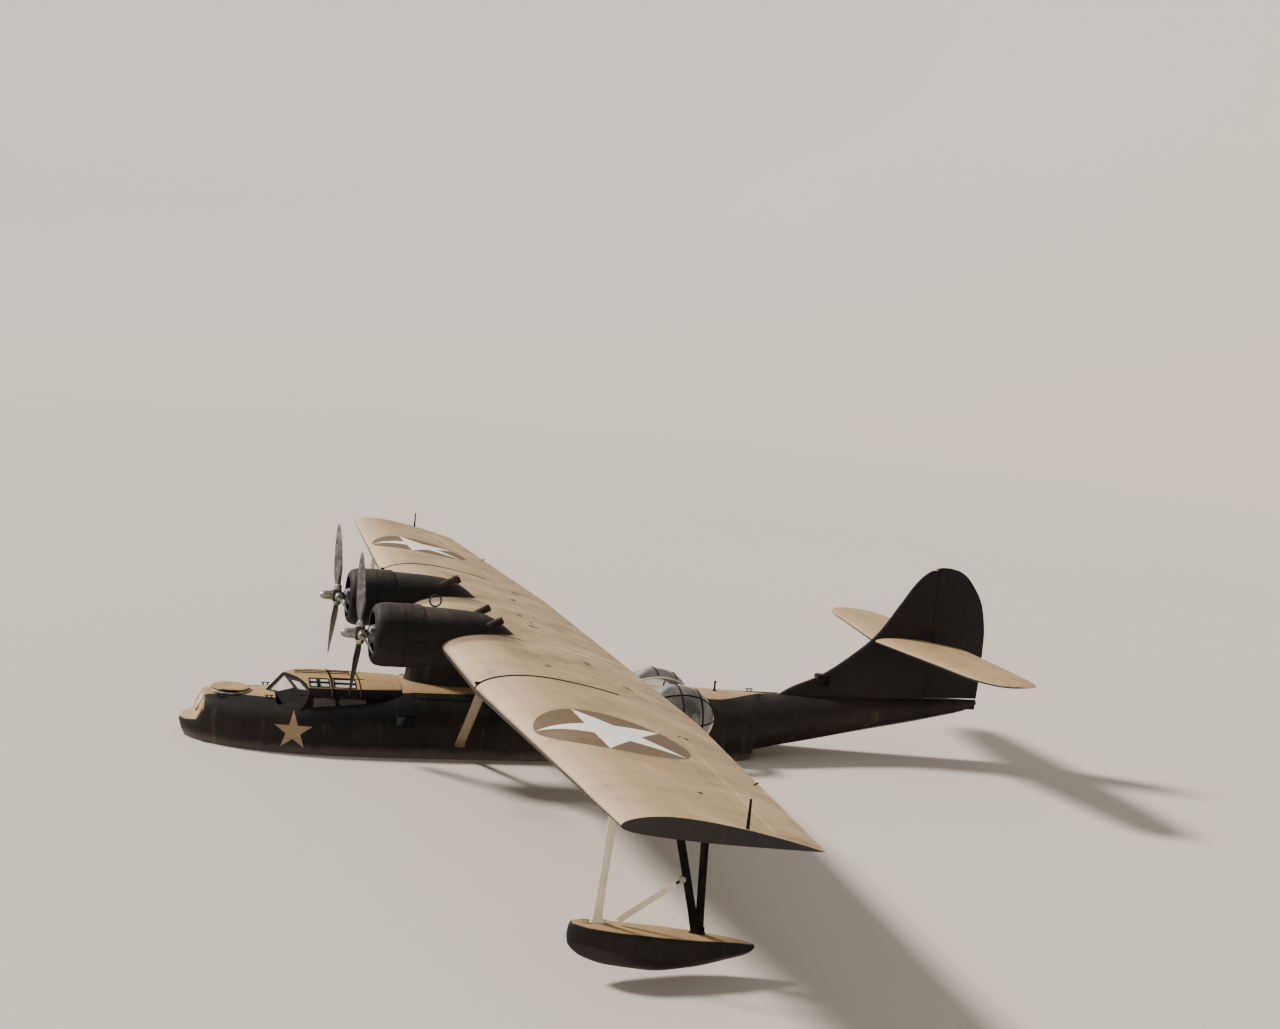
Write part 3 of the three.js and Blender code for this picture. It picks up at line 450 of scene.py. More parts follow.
def carve(thing, cutters, operation="DIFFERENCE", look=None):
    """Cuts shapes out of an object, or keeps what they share; cut faces take the given finish."""
    helpers = []
    for k, cutter in enumerate(cutters):
        cutter = cutter if isinstance(cutter, Shape) else shape_of(cutter)
        helper = new_object(f"cutter_{k}", cutter.mesh("cutter"), [look] if look else ())
        modifier = thing.modifiers.new(f"cut_{k}", "BOOLEAN")
        modifier.operation, modifier.solver, modifier.object = operation, "EXACT", helper
        modifier.material_mode = "TRANSFER" if look else "INDEX"
        helpers.append(helper)
    evaluated(thing)
    for helper in helpers:
        bpy.data.objects.remove(helper)
    tidy_mesh(thing.data)
    return thing


def clipped(part, *planes):
    """A closed shape without what lies past each plane, given by a point and the way past it."""
    work = bmesh.new()
    mesh = bpy.data.meshes.new("clip")
    mesh.from_pydata(np.asarray(part[0]).tolist(), [], part[1])
    work.from_mesh(mesh)
    bmesh.ops.remove_doubles(work, verts=work.verts, dist=1e-5)
    for at, way in planes:
        cut = bmesh.ops.bisect_plane(
            work, geom=work.verts[:] + work.edges[:] + work.faces[:], plane_co=at, plane_no=way, clear_outer=True)
        edges = [e for e in cut["geom_cut"] if isinstance(e, bmesh.types.BMEdge)]
        bmesh.ops.holes_fill(work, edges=edges)
    bmesh.ops.recalc_face_normals(work, faces=work.faces)
    points = np.array([v.co for v in work.verts])
    work.verts.index_update()
    faces = [tuple(v.index for v in f.verts) for f in work.faces]
    work.free()
    bpy.data.meshes.remove(mesh)
    return points, faces


# Hull and wing as surfaces

def hull_half(row, bottom=9, side=5, arc=17):
    """Half a hull section, from the keel over flare, chine and side to the top, as (y, z)."""
    _, keel, chine_y, chine_z, side_y, side_z, top, square = row
    y = np.linspace(0, chine_y, bottom)
    flare = keel + .62 * (chine_z - keel)
    low = np.column_stack([y, through([0, .72 * chine_y, chine_y], [keel, flare, chine_z], y)])
    share = np.linspace(0, 1, side + 1)[1:-1]
    mid = np.column_stack([chine_y + (side_y - chine_y) * share, chine_z + (side_z - chine_z) * share])
    turn = np.linspace(0, np.pi / 2, arc)
    crown = np.column_stack([
        side_y * np.cos(turn).clip(0) ** (2 / square),
        side_z + (top - side_z) * np.sin(turn) ** (2 / square),
    ])
    return np.concatenate([low, mid, crown])


def hull_ring(row, **counts):
    half = hull_half(row, **counts)
    whole = np.concatenate([half, half[-2:0:-1] * (-1, 1)])
    return np.column_stack([np.full(len(whole), row[0]), whole])


@functools.lru_cache(maxsize=None)
def hull_row(x):
    """Row of the hull's section at a station, which is only read."""
    for table, end in ((FOREBODY, STEPS[0]), (AFTERBODY, STEPS[1]), (TAILBODY, 19.5)):
        if x <= end:
            return table_at(table, np.array([x]))[0]
    raise ValueError("station past the stern")


def hull_side(x, z):
    """Distance of the hull's side from the centre line, at a station and height."""
    _, _, chine_y, chine_z, side_y, side_z, top, square = hull_row(x)
    if z < side_z:
        return chine_y + (side_y - chine_y) * (z - chine_z) / (side_z - chine_z)
    return side_y * (1 - ((z - side_z) / (top - side_z)) ** square) ** (1 / square)


def hull_top(x, y):
    """Height of the deck at a station and distance from the centre line."""
    _, _, _, _, side_y, side_z, top, square = hull_row(x)
    return side_z + (top - side_z) * (1 - (abs(y) / side_y) ** square) ** (1 / square)


def hull_cover(point):
    """Height of the hull over a point, or far below where it lies outside the hull."""
    row = hull_row(float(point[0]))
    if abs(point[1]) >= row[4]:
        return -1.0
    return hull_top(float(point[0]), float(point[1]))


def foil(share, thickness, camber=0.0, crest=.3):
    """Heights of the upper and the lower skin over the chord line, as shares of the chord."""
    x = np.asarray(share, float)
    body = .2969 * np.sqrt(x) - .126 * x - .3516 * x ** 2 + .2843 * x ** 3 - .1036 * x ** 4
    front = camber / crest ** 2 * (2 * crest * x - x ** 2)
    rear = camber / (1 - crest) ** 2 * (1 - 2 * crest + 2 * crest * x - x ** 2)
    bow = np.where(x < crest, front, rear)
    return bow + 5 * thickness * body, bow - 5 * thickness * body


def whole_section(chord, thickness, camber=0.0, count=34):
    """Section of a surface without a flap, from its trailing edge over the top and back."""
    share = .5 + .5 * np.cos(np.linspace(0, np.pi, count + 1))
    up, low = foil(share, thickness, camber)
    return chord * np.concatenate([np.column_stack([share, up]), np.column_stack([share, low])[-2:0:-1]])


def hinge_heights(chord, thickness, camber, hinge, lift):
    up, low = foil(hinge, thickness, camber)
    return chord * (up - lift), chord * (lift - low)


def fixed_section(chord, thickness, camber, hinge, lift, gap=.014, count=30, arc=12):
    """Section ahead of a hinge, ended by a hollow that clears the round nose of the flap."""
    reach = max(hinge_heights(chord, thickness, camber, hinge, lift)) + gap
    centre = np.array([hinge, lift]) * chord
    share = np.linspace(.02, hinge, 500)
    edges = [np.column_stack([share, h]) * chord for h in foil(share, thickness, camber)]
    ends = []
    for line in edges:
        clear = np.hypot(*(line - centre).T) >= reach + .004
        ends.append(share[clear][-1])
    lines = []
    for k, end in enumerate(ends):
        at = end * (.5 - .5 * np.cos(np.linspace(0, np.pi, count)))
        lines.append(np.column_stack([at, foil(at, thickness, camber)[k]]) * chord)
    turns = [math.atan2(*(line[-1] - centre)[::-1]) % (2 * np.pi) for line in lines]
    sweep = np.linspace(turns[1], turns[0], arc)
    hollow = centre + reach * np.column_stack([np.cos(sweep), np.sin(sweep)])
    return np.concatenate([lines[0][::-1], lines[1][1:], hollow])


def flap_section(chord, thickness, camber, hinge, lift, count=18, arc=17):
    """Section behind a hinge, with a round nose about the hinge line."""
    rise, drop = hinge_heights(chord, thickness, camber, hinge, lift)
    centre = np.array([hinge, lift]) * chord
    share = 1 - (1 - hinge) * (1 - np.cos(np.linspace(0, np.pi / 2, count)))
    up, low = foil(share, thickness, camber)
    turn = np.linspace(np.pi / 2, 3 * np.pi / 2, arc)[1:-1]
    reach = min(rise, drop)
    nose = centre + np.column_stack([reach * np.cos(turn), np.where(np.sin(turn) > 0, rise, drop) * np.sin(turn)])
    return np.concatenate([
        chord * np.column_stack([share, up]), nose, (chord * np.column_stack([share, low]))[:0:-1]])


# Slots and drain covers on the wing: y, x, length, width. A known fault: the one at y 9.1 and the tab horns at
# y 11.48 stand on the ailerons, but ride on the hull with the other covers.
WING_MARKS = [
    (5.13, 8.46, .19, .05), (5.37, 8.46, .19, .05), (.3, 7.71, .08, .08), (9.1, 8.43, .07, .07),
    (13.42, 7.16, .07, .07),
]


def wing_row(y):
    """Leading edge x and z, chord and thickness of the wing at a distance from the centre line."""
    share = max(0.0, (abs(y) - HALF_CENTRE) / (HALF_FIXED - HALF_CENTRE))
    return 5.09 + .34 * share, 3.93 + .2 * share, 4.57 - 1.4 * share, .15 - .05 * share


def on_wing(y, flat):
    """Points of a wing section, given along and above its chord line, in their place."""
    x, z, _, _ = wing_row(y)
    flat = np.atleast_2d(flat)
    c, s = math.cos(INCIDENCE), math.sin(INCIDENCE)
    return np.column_stack([x + flat[:, 0] * c + flat[:, 1] * s, np.full(len(flat), float(y)),
                            z - flat[:, 0] * s + flat[:, 1] * c])


def wing_top(y, share, over=0.0):
    """Point on the wing's upper skin, at a share of the chord."""
    _, _, chord, thickness = wing_row(y)
    return on_wing(y, (share * chord, foil(share, thickness, .02)[0] * chord + over))[0]


def wing_skin(y0, y1, section, count, **values):
    rings = []
    for y in np.linspace(y0, y1, count):
        _, _, chord, thickness = wing_row(y)
        rings.append(on_wing(y, section(chord, thickness, .02, **values)))
    return skin(rings)


FLOAT_HINGE = on_wing(FLOAT_HINGE_Y, (0, -FLOAT_HINGE_DROP))[0]


def from_hinge(points):
    """Places points drawn in the starboard float's hinge frame."""
    p = np.asarray(points, float)
    c, s = math.cos(INCIDENCE), math.sin(INCIDENCE)
    return np.column_stack([p[:, 0] * c + p[:, 2] * s, p[:, 1], p[:, 2] * c - p[:, 0] * s]) + FLOAT_HINGE


# Finishes

class Term:
    """A socket of numbers, so that sums of sockets are written as sums."""

    def __init__(self, look, socket):
        self.look, self.socket = look, socket

    def __add__(self, other):
        return self.look.maths("ADD", self, other)

    def __radd__(self, other):
        return self.look.maths("ADD", other, self)

    def __sub__(self, other):
        return self.look.maths("SUBTRACT", self, other)

    def __rsub__(self, other):
        return self.look.maths("SUBTRACT", other, self)

    def __mul__(self, other):
        return self.look.maths("MULTIPLY", self, other)

    def __rmul__(self, other):
        return self.look.maths("MULTIPLY", other, self)

    def __truediv__(self, other):
        return self.look.maths("DIVIDE", self, other)

    def __rtruediv__(self, other):
        return self.look.maths("DIVIDE", other, self)

    def __neg__(self):
        return self.look.maths("MULTIPLY", self, -1)

    def __abs__(self):
        return self.look.maths("ABSOLUTE", self)


class Look:
    """One procedural finish while it is built."""

    def __init__(self, name, **constants):
        self.material = bpy.data.materials.new(name)
        self.material.use_nodes = True
        self.tree = self.material.node_tree
        self.shader = self.tree.nodes["Principled BSDF"]
        for key, value in constants.items():
            self.shader.inputs[key.replace("_", " ")].default_value = value

    def node(self, kind, settings=None, values=None, output=0):
        """Adds a node: its settings come first, then the values or links of its sockets."""
        node = self.tree.nodes.new(kind)
        for key, value in (settings or {}).items():
            setattr(node, key, value)
        for key, value in (values or {}).items():
            if isinstance(value, Term):
                self.tree.links.new(value.socket, node.inputs[key])
            else:
                node.inputs[key].default_value = value
        return Term(self, node.outputs[output])

    def maths(self, operation, *values, clamp=False):
        return self.node("ShaderNodeMath", {"operation": operation, "use_clamp": clamp}, dict(enumerate(values)))

    def mix(self, share, a, b):
        """Colour between a and b."""
        a, b = ((*c, 1.0) if isinstance(c, tuple) and len(c) == 3 else c for c in (a, b))
        return self.node("ShaderNodeMix", {"data_type": "RGBA"}, {0: share, 6: a, 7: b}, 2)

    def coordinates(self, output):
        """The three numbers of the object's place or facing."""
        at = self.node("ShaderNodeTexCoord", output=output)
        return [self.node("ShaderNodeSeparateXYZ", values={0: at}, output=k) for k in (0, 1, 2)]

    def place(self):
        return self.coordinates("Object")

    def facing(self):
        return self.coordinates("Normal")

    def noise(self, scale, detail=3.0, rough=.55, stretch=(1, 1, 1), at=None):
        at = at or self.node("ShaderNodeTexCoord", output="Object")
        at = self.node("ShaderNodeMapping", values={"Vector": at, "Scale": tuple(scale * k for k in stretch)})
        values = {"Vector": at, "Scale": 1.0, "Detail": detail, "Roughness": rough}
        return self.node("ShaderNodeTexNoise", values=values)

    def band(self, value, low, high, start=0.0, end=1.0):
        """Smooth change from start to end as the value goes from low to high."""
        values = {0: value, 1: low, 2: high, 3: start, 4: end}
        return self.node("ShaderNodeMapRange", {"interpolation_type": "SMOOTHSTEP"}, values)

    def spacing(self, value, pitch, shift=0.0):
        """Distance from the nearest of lines a pitch apart."""
        return abs(self.maths("WRAP", value - shift, pitch / 2, -pitch / 2))

    def line(self, distance, half):
        """1 on a line of that half width, and 0 off it."""
        return self.band(distance, half * .6, half * 1.4, 1.0, 0.0)

    def near(self, value, at, half):
        return self.line(abs(value - at), half)

    def both(self, *values):
        """The greatest of the values."""
        most = values[0]
        for value in values[1:]:
            most = self.maths("MAXIMUM", most, value)
        return most

    def length(self, a, b):
        return self.maths("SQRT", a * a + b * b)

    def bump(self, height, distance, strength=1.0, normal=None):
        values = {"Height": height, "Distance": distance, "Strength": strength}
        if normal:
            values["Normal"] = normal
        return self.node("ShaderNodeBump", values=values)

    def done(self, colour=None, roughness=None, metallic=None, normal=None, alpha=None):
        links = {"Base Color": colour, "Roughness": roughness, "Metallic": metallic, "Normal": normal, "Alpha": alpha}
        for key, value in links.items():
            if isinstance(value, Term):
                self.tree.links.new(value.socket, self.shader.inputs[key])
            elif value is not None:
                self.shader.inputs[key].default_value = (*value, 1.0) if isinstance(value, tuple) else value
        return self.material


def tone(red, green, blue):
    """A colour as it is shown on a screen, 0 to 255, for a shader."""
    return tuple((c / 255 / 12.92) if c <= 10 else ((c / 255 + .055) / 1.055) ** 2.4 for c in (red, green, blue))


def star(look, u, v, centre, radius, turn):
    """1 inside a five-pointed star with a point that way, in radians."""
    du, dv = u - centre[0], v - centre[1]
    angle = look.maths("ARCTAN2", dv, du) - turn
    fold = abs(look.maths("WRAP", angle, math.pi / 5, -math.pi / 5))
    reach = look.length(du, dv)
    inner = radius * .382
    run, fall = inner * math.cos(math.pi / 5) - radius, inner * math.sin(math.pi / 5)
    size = math.hypot(run, fall)
    past = (reach * look.maths("COSINE", fold) - radius) * (fall / size) \
        - reach * look.maths("SINE", fold) * (run / size)
    return look.band(past, -.004, .004, 1.0, 0.0)


def painted(look, shade, sun, lines, studs, star=None, disc=None, streaks=True, edge=(.1, .8), wear=1.0,
            top=None, bleach_and_painted_highlight=None, soot_and_painted_shadow=None):
    """Weathered service paint, with painted sunlight on the tops and painted shade on the sides, and seams, rivets,
    chalking and scuffs.
    """
    settings = bpy.context.scene.boat_paint
    _, _, z = look.place()
    _, _, up = look.facing()
    broad, cloudy, grain = look.noise(.35, 3), look.noise(2.3, 5, .6), look.noise(34, 4, .6)
    # The top mask picks where painted sunlight falls: by facing up, or by place where a mask is given.
    top = top or look.band(up + (cloudy - .5) * .12, *edge)
    # Painted light: the tan colour on the tops is painted sunlight and the near-black on the sides is painted shade;
    # both stand for one paint.
    colour = look.mix(top, shade, sun)
    # The bleach mask holds bleaching, and on the wing also a painted highlight along the leading edge.
    if bleach_and_painted_highlight:
        colour = look.mix(bleach_and_painted_highlight * top, colour, settings.bleach[:])
    # The soot mask holds soot, and on the wing also the nacelles' painted shadow.
    if soot_and_painted_shadow:
        colour = look.mix(soot_and_painted_shadow * top, colour, settings.grime_and_painted_shadow[:])
    bleach = look.band(broad * .6 + cloudy * .4, .38, .66)
    colour = look.mix(bleach * (.04 + .3 * top) * wear, colour, settings.chalk[:])
    stain = look.band(look.noise(.8, 5, .65) * .65 + grain * .35, .5, .68)
    colour = look.mix(stain * .34 * wear, colour, settings.grime_and_painted_shadow[:])
    if streaks:
        runs = look.band(look.noise(1, 4, .6, (5, 5, .4)), .56, .78) * look.band(up, .6, .2)
        colour = look.mix(runs * .1, colour, settings.chalk[:])
        tide = look.band(z + (cloudy - .5) * .2, .26, .02) * look.band(z, -.02, 0.0)
        colour = look.mix(tide * .22, colour, settings.salt[:])
    if disc:
        colour = look.mix(disc * (.95 - .25 * stain), colour, settings.disc[:])
    if star:
        mask, tint = star
        colour = look.mix(mask * (1 - .12 * stain), colour, tint)
    colour = look.mix(lines * .5, colour, settings.grime_and_painted_shadow[:])
    chips = look.band(look.noise(21, 6, .75), .69, .73) * look.band(look.noise(1.1, 2), .5, .62)
    colour = look.mix(chips * .5 * wear, colour, settings.bare[:])
    rough = .5 + .2 * cloudy + .08 * grain - .1 * chips
    normal = look.bump(broad * .7 + cloudy * .3, .004, .35)
    normal = look.bump(studs - lines + grain * .12, .0022, .8, normal)
    return look.done(colour, rough, chips * .5, normal)


def hull_paint(look):
    x, y, z = look.place()
    _, side, up = look.facing()
    frames = look.line(look.spacing(x, .64, .1), .004)
    seams = look.both(look.near(z, .33, .004), look.near(z, -.12, .004), look.near(z, .86, .004))
    flat = look.band(abs(side), .45, .6)
    planks = look.both(look.near(abs(y), .32, .004), look.near(abs(y), .74, .004))
    lines = look.both(frames, seams * flat, planks * (1 - flat))
    rows = look.line(look.spacing(x, .64, .125), .004) * look.line(look.spacing(z, .04), .004)
    rows = look.both(rows, look.line(look.spacing(x, .04), .004) * flat * look.near(z, .355, .004))
    # The bow star takes a darkened colour: painted shade on the star.
    badge = star(look, x, z, HULL_STAR, .42, math.pi / 2) * look.band(abs(y), .3, .6)
    paint = bpy.context.scene.boat_paint
    # The tan deck band and bow top mark where painted sunlight falls; the rest of the hull keeps the dark colour as
    # painted shade.
    half = look.band(x, -6.2, -4, .33, .8) - look.band(x, -2.3, 5.2, 0.0, .24) - look.band(x, 5.2, 6.8, 0.0, .56)
    deck = look.band(half - abs(y) + (look.noise(4, 3) - .5) * .03, -.012, .012) * look.band(z, .85, .88) \
        * look.band(up, .2, .3)
    nose = look.band(x, -6.5, -6.54) * look.band(up, .12, .3) * look.band(z - (x + 6.92) * .25, .41, .43)
    return painted(look, paint.side[:], paint.top[:], lines, rows, (badge, paint.bow_star_painted_shade[:]),
                   top=look.both(deck, nose))


def canopy_paint(look):
    x, y, z = look.place()
    _, _, up = look.facing()
    lines = look.both(look.line(look.spacing(x, .52, .12), .003), look.near(abs(y), .36, .003))
    rows = look.line(look.spacing(x, .52, .14), .004) * look.line(look.spacing(y, .04), .005)
    paint = bpy.context.scene.boat_paint
    # Tan only on the roof above the sills, as painted sunlight; the rest takes the dark colour as painted shade.
    top = look.band(z, 1.335, 1.355) * look.band(up, .62, .74)
    return painted(look, paint.side[:], paint.top[:], lines, rows, streaks=False, top=top)


def wing_share(look, x, y):
    """Share of the chord and distance from the centre line, anywhere on the wing."""
    out = abs(y)
    taper = look.maths("MAXIMUM", (out - HALF_CENTRE) / (HALF_FIXED - HALF_CENTRE), 0.0)
    return (x - (5.09 - 7 + .34 * taper)) / (4.57 - 1.4 * taper), out


def wing_paint(look):
    x, y, _ = look.place()
    share, out = wing_share(look, x, y)
    cloth = look.band(share, .655, .66)
    ribs = look.spacing(out, .36, .09)
    seams = look.both(look.near(share, .085, .0012), look.near(share, .33, .0012), look.near(share, .66, .0018))
    plates = look.line(look.spacing(out, 1.29), .005) * (1 - cloth)
    lines = look.both(seams, plates)
    tape = look.band(ribs, .012, .034, 1.0, 0.0) * cloth
    rows = look.line(look.spacing(out, .36, .09), .006) * look.line(look.spacing(x, .05), .006) * (1 - cloth)
    paint = bpy.context.scene.boat_paint
    at = (-.28, paint.star_y)
    disc = look.band(look.length(x - at[0], out - at[1]), paint.star_radius - .004, paint.star_radius + .004, 1.0, 0.0)
    badge = star(look, x, out, at, paint.star_radius * .985, math.pi)
    run = look.noise(1, 4, .6, (.3, 6.5, .3))
    wake = look.band(abs(out - ENGINE_Y - .15), 1.15, .4) * look.band(share, .44, .6)
    patch = look.noise(1, 5, .6, (.9, 1.05, .9))
    # The lighter nose of the wing is a painted highlight where light falls on the leading edge; the streaks behind the
    # engines and the patches are bleaching.
    bleach_and_painted_highlight = look.both(look.band(share, .3, .02) * (.25 + .5 * patch), wake * look.band(run, .5, .6) * .75,
                         look.band(patch, .5, .62) * look.band(share, .12, .5) * .3)
    rib = look.near(y, .1, .012) * look.band(share, .565, .57)
    centre = look.band(out, 7.2, 6.0)
    # Exhaust soot and smudges, and a dark band beside the front of each nacelle that is a painted shadow of the nacelle
    # on the wing.
    soot_and_painted_shadow = look.both(
        wake * look.band(run, .47, .38) * .5,
        look.band(patch, .48, .37) * look.band(share, .05, .3) * (.2 + .14 * centre),
        look.band(abs(out - ENGINE_Y), 1.32, .95) * look.band(share, .4, .3) * .6, rib * .9,
        look.near(out, 8.43, .3) * look.band(run, .5, .4) * look.band(share, .7, .8) * .3)
    return painted(look, paint.side[:], paint.top[:], lines * (1 - tape), rows + tape * .9, (badge, paint.star[:]),
                   disc, streaks=False, bleach_and_painted_highlight=bleach_and_painted_highlight, soot_and_painted_shadow=soot_and_painted_shadow)


def tail_paint(look):
    x, y, _ = look.place()
    ribs = look.spacing(abs(y), .34, .1)
    lines = look.both(look.near(x, 10.3, .005), look.near(x, 10.62, .005), look.line(look.spacing(abs(y), 1.02), .004))
    tape = look.band(ribs, .01, .03, 1.0, 0.0) * look.band(x, 10.9, 10.95)
    paint = bpy.context.scene.boat_paint
    return painted(look, paint.side[:], paint.top[:], lines, tape, streaks=False)


def fin_paint(look):
    x, _, z = look.place()
    ribs = look.spacing(z, .36, .1)
    lines = look.both(look.line(ribs, .004) * look.band(x, 10.9, 10.85), look.near(x, 10.2, .004),
                      look.near(x, 9.3, .004))
    tape = look.band(ribs, .01, .03, 1.0, 0.0) * look.band(x, 10.9, 10.95)
    paint = bpy.context.scene.boat_paint
    return painted(look, paint.side[:], paint.top[:], lines, tape, streaks=False, edge=(.8, .97), wear=.5)


def nacelle_paint(look):
    x, y, z = look.place()
    turn = look.maths("ARCTAN2", z - THRUST_HEIGHT, abs(y) - ENGINE_Y)
    rings = look.both(look.near(x, -1.72, .004), look.near(x, -1.2, .004), look.near(x, -2.95, .004))
    lines = look.both(rings, look.line(look.spacing(turn, math.pi / 3, .2), .006))
    rows = look.line(look.spacing(turn, math.pi / 45), .008) \
        * look.both(look.near(x, -1.69, .006), look.near(x, -2.92, .006))
    paint = bpy.context.scene.boat_paint
    # The nacelles' tops take a lighter copy of the dark colour as painted light.
    return painted(look, paint.side[:], paint.nacelle_top_painted_light[:], lines, rows, streaks=False, edge=(.5, .95), wear=.5)


def float_paint(look):
    x, _, z = look.place()
    lines = look.line(look.spacing(x, .52, .1), .003)
    rows = look.line(look.spacing(x, .52, .125), .004) * look.line(look.spacing(z, .04), .005)
    paint = bpy.context.scene.boat_paint
    return painted(look, paint.side[:], paint.top[:], lines, rows, edge=(.86, .95))


def pylon_paint(look):
    x, _, z = look.place()
    lines = look.both(look.line(look.spacing(x, .72, .2), .004), look.near(z, 1.6, .004), look.near(z, 2.35, .004))
    rows = look.line(look.spacing(x, .72, .225), .004) * look.line(look.spacing(z, .04), .005)
    paint = bpy.context.scene.boat_paint
    return painted(look, paint.side[:], paint.top[:], lines, rows, edge=(.74, .93))


def worn_coat(look, coat, chalk, metallic):
    """Coat on slim pieces: chalky patches and dirt."""
    worn = look.noise(3.5, 5, .65, (1, 1, .6))
    grain = look.noise(50, 3)
    colour = look.mix(look.band(worn, .4, .75) * chalk, coat, bpy.context.scene.boat_paint.chalk[:])
    colour = look.mix(look.band(worn * .6 + grain * .4, .58, .7) * .4, colour, bpy.context.scene.boat_paint.grime_and_painted_shadow[:])
    return look.done(colour, .38 + .3 * worn, metallic, look.bump(worn + grain * .3, .0015, .5))


# Bright coat: painted sunlight on the float's front leg and brace.
def leg_paint(look):
    return worn_coat(look, bpy.context.scene.boat_paint.painted_sunlit_leg[:], .3, .1)


# Darkened coat: painted shade on the wing struts.
def strut_paint(look):
    return worn_coat(look, bpy.context.scene.boat_paint.strut[:], .35, .2)


# Coat in the dark side colour; on the rear float legs it is painted shade.
def dark_paint(look):
    return worn_coat(look, bpy.context.scene.boat_paint.side[:], .07, .1)


def bare_metal(look):
    worn, fine = look.noise(6, 5, .65), look.noise(90, 3, .6, (1, 1, .2))
    colour = look.mix(look.band(worn, .3, .75), tone(118, 114, 108), tone(196, 190, 182))
    return look.done(colour, .24 + .3 * worn + .1 * fine, 1.0, look.bump(worn * .5 + fine * .5, .0008, .5))


def dark_metal(look):
    worn, fine = look.noise(11, 5, .65), look.noise(120, 3)
    colour = look.mix(look.band(worn, .35, .75), tone(26, 25, 25), tone(74, 69, 63))
    return look.done(colour, .42 + .3 * worn, .75, look.bump(worn * .6 + fine * .4, .001, .6))


def engine_case(look):
    worn, fine = look.noise(9, 5, .65), look.noise(70, 3)
    colour = look.mix(look.band(worn, .35, .75), tone(70, 71, 72), tone(128, 126, 122))
    oil = look.band(look.noise(4, 4, .6), .52, .7)
    colour = look.mix(oil * .7, colour, tone(30, 24, 19))
    return look.done(colour, .5 - .25 * oil + .15 * fine, .45, look.bump(worn + fine * .4, .0015, .6))


def exhaust_metal(look):
    heat, fine = look.noise(5, 5, .7), look.noise(60, 4)
    colour = look.mix(look.band(heat, .35, .7), tone(38, 33, 30), tone(84, 72, 62))
    colour = look.mix(look.band(fine, .5, .75) * .6, colour, tone(28, 24, 22))
    return look.done(colour, .6 + .25 * fine, .55, look.bump(heat + fine, .001, .6))


def blade_paint(look):
    _, y, z = look.place()
    out = look.length(abs(y) - ENGINE_Y, z - THRUST_HEIGHT)
    worn, grain = look.noise(7, 5, .65), look.noise(60, 4)
    colour = look.mix(look.band(worn, .35, .75), tone(22, 21, 20), tone(46, 43, 40))
    bare = look.band(grain * .5 + worn * .5 + out * .09, .6, .72)
    colour = look.mix(bare * .6, colour, tone(150, 146, 140))
    return look.done(colour, .36 + .25 * worn, bare * .7, look.bump(grain, .0006, .5))


def clear_sheet(look, clear, dusty, low, high):
    """Glass that is clear when faced and bright at a glancing angle."""
    dust, film = look.noise(3, 4, .55), look.noise(25, 4)
    colour = look.mix(look.band(dust, .35, .7), clear, dusty)
    gleam = look.node("ShaderNodeFresnel", values={"IOR": 1.45})
    opaque = look.maths("MINIMUM", low + .12 * dust + (high - low) * gleam, 1.0)
    return look.done(colour, .03 + .06 * film, 0.0, None, opaque)


def canopy_glass(look):
    return clear_sheet(look, tone(150, 152, 150), tone(190, 188, 180), .04, 1.3)


# Pale, half-opaque colour paints the sunlit reflection in the bow pane, the windscreens and the roof windows.
def painted_reflection_glass(look):
    return clear_sheet(look, tone(214, 210, 202), tone(240, 236, 228), .5, 1.6)


# Opaque near-black pane: painted shade standing for the dark inside behind the glass.
def dark_glass(look):
    dust = look.noise(4, 4, .6)
    colour = look.mix(look.band(dust, .35, .7), tone(16, 18, 20), tone(42, 43, 43))
    return look.done(colour, .05 + .1 * dust, 0.0)


def cabin_paint(look):
    worn, fine = look.noise(4, 5, .6), look.noise(45, 3)
    colour = look.mix(look.band(worn, .35, .7), tone(66, 70, 58), tone(94, 96, 82))
    colour = look.mix(look.band(fine, .6, .75) * .5, colour, tone(34, 32, 28))
    return look.done(colour, .55 + .2 * fine, 0.0, look.bump(worn + fine * .5, .0015, .5))


def leather(look):
    creases = look.node("ShaderNodeTexVoronoi", {"feature": "DISTANCE_TO_EDGE"}, {"Scale": 60.0})
    worn = look.noise(5, 4, .6)
    colour = look.mix(look.band(worn, .35, .7), tone(48, 33, 24), tone(92, 66, 46))
    colour = look.mix(look.band(creases, .12, 0.0) * .5, colour, tone(26, 18, 14))
    return look.done(colour, .48 + .25 * worn, 0.0, look.bump(look.band(creases, 0.0, .12), .0012, .6))


def instrument_black(look):
    wrinkle, dust = look.noise(260, 3, .6), look.noise(6, 4)
    colour = look.mix(look.band(dust, .4, .75), tone(19, 19, 19), tone(44, 42, 40))
    return look.done(colour, .55 + .2 * dust, 0.0, look.bump(wrinkle, .0007, .7))


def dial_face(look):
    _, y, z = look.place()
    dust = look.noise(9, 3)
    ring = look.spacing(look.length(look.maths("WRAP", y, .07, -.07), look.maths("WRAP", z, .07, -.07)), .022)
    colour = look.mix(look.line(ring, .002) * .8, tone(20, 20, 20), tone(220, 214, 200))
    return look.done(colour, .2 + .2 * dust, 0.0)


def rubber(look):
    grain = look.noise(70, 4)
    colour = look.mix(grain, tone(20, 19, 18), tone(44, 41, 38))
    return look.done(colour, .7 + .2 * grain, 0.0, look.bump(grain, .001, .6))


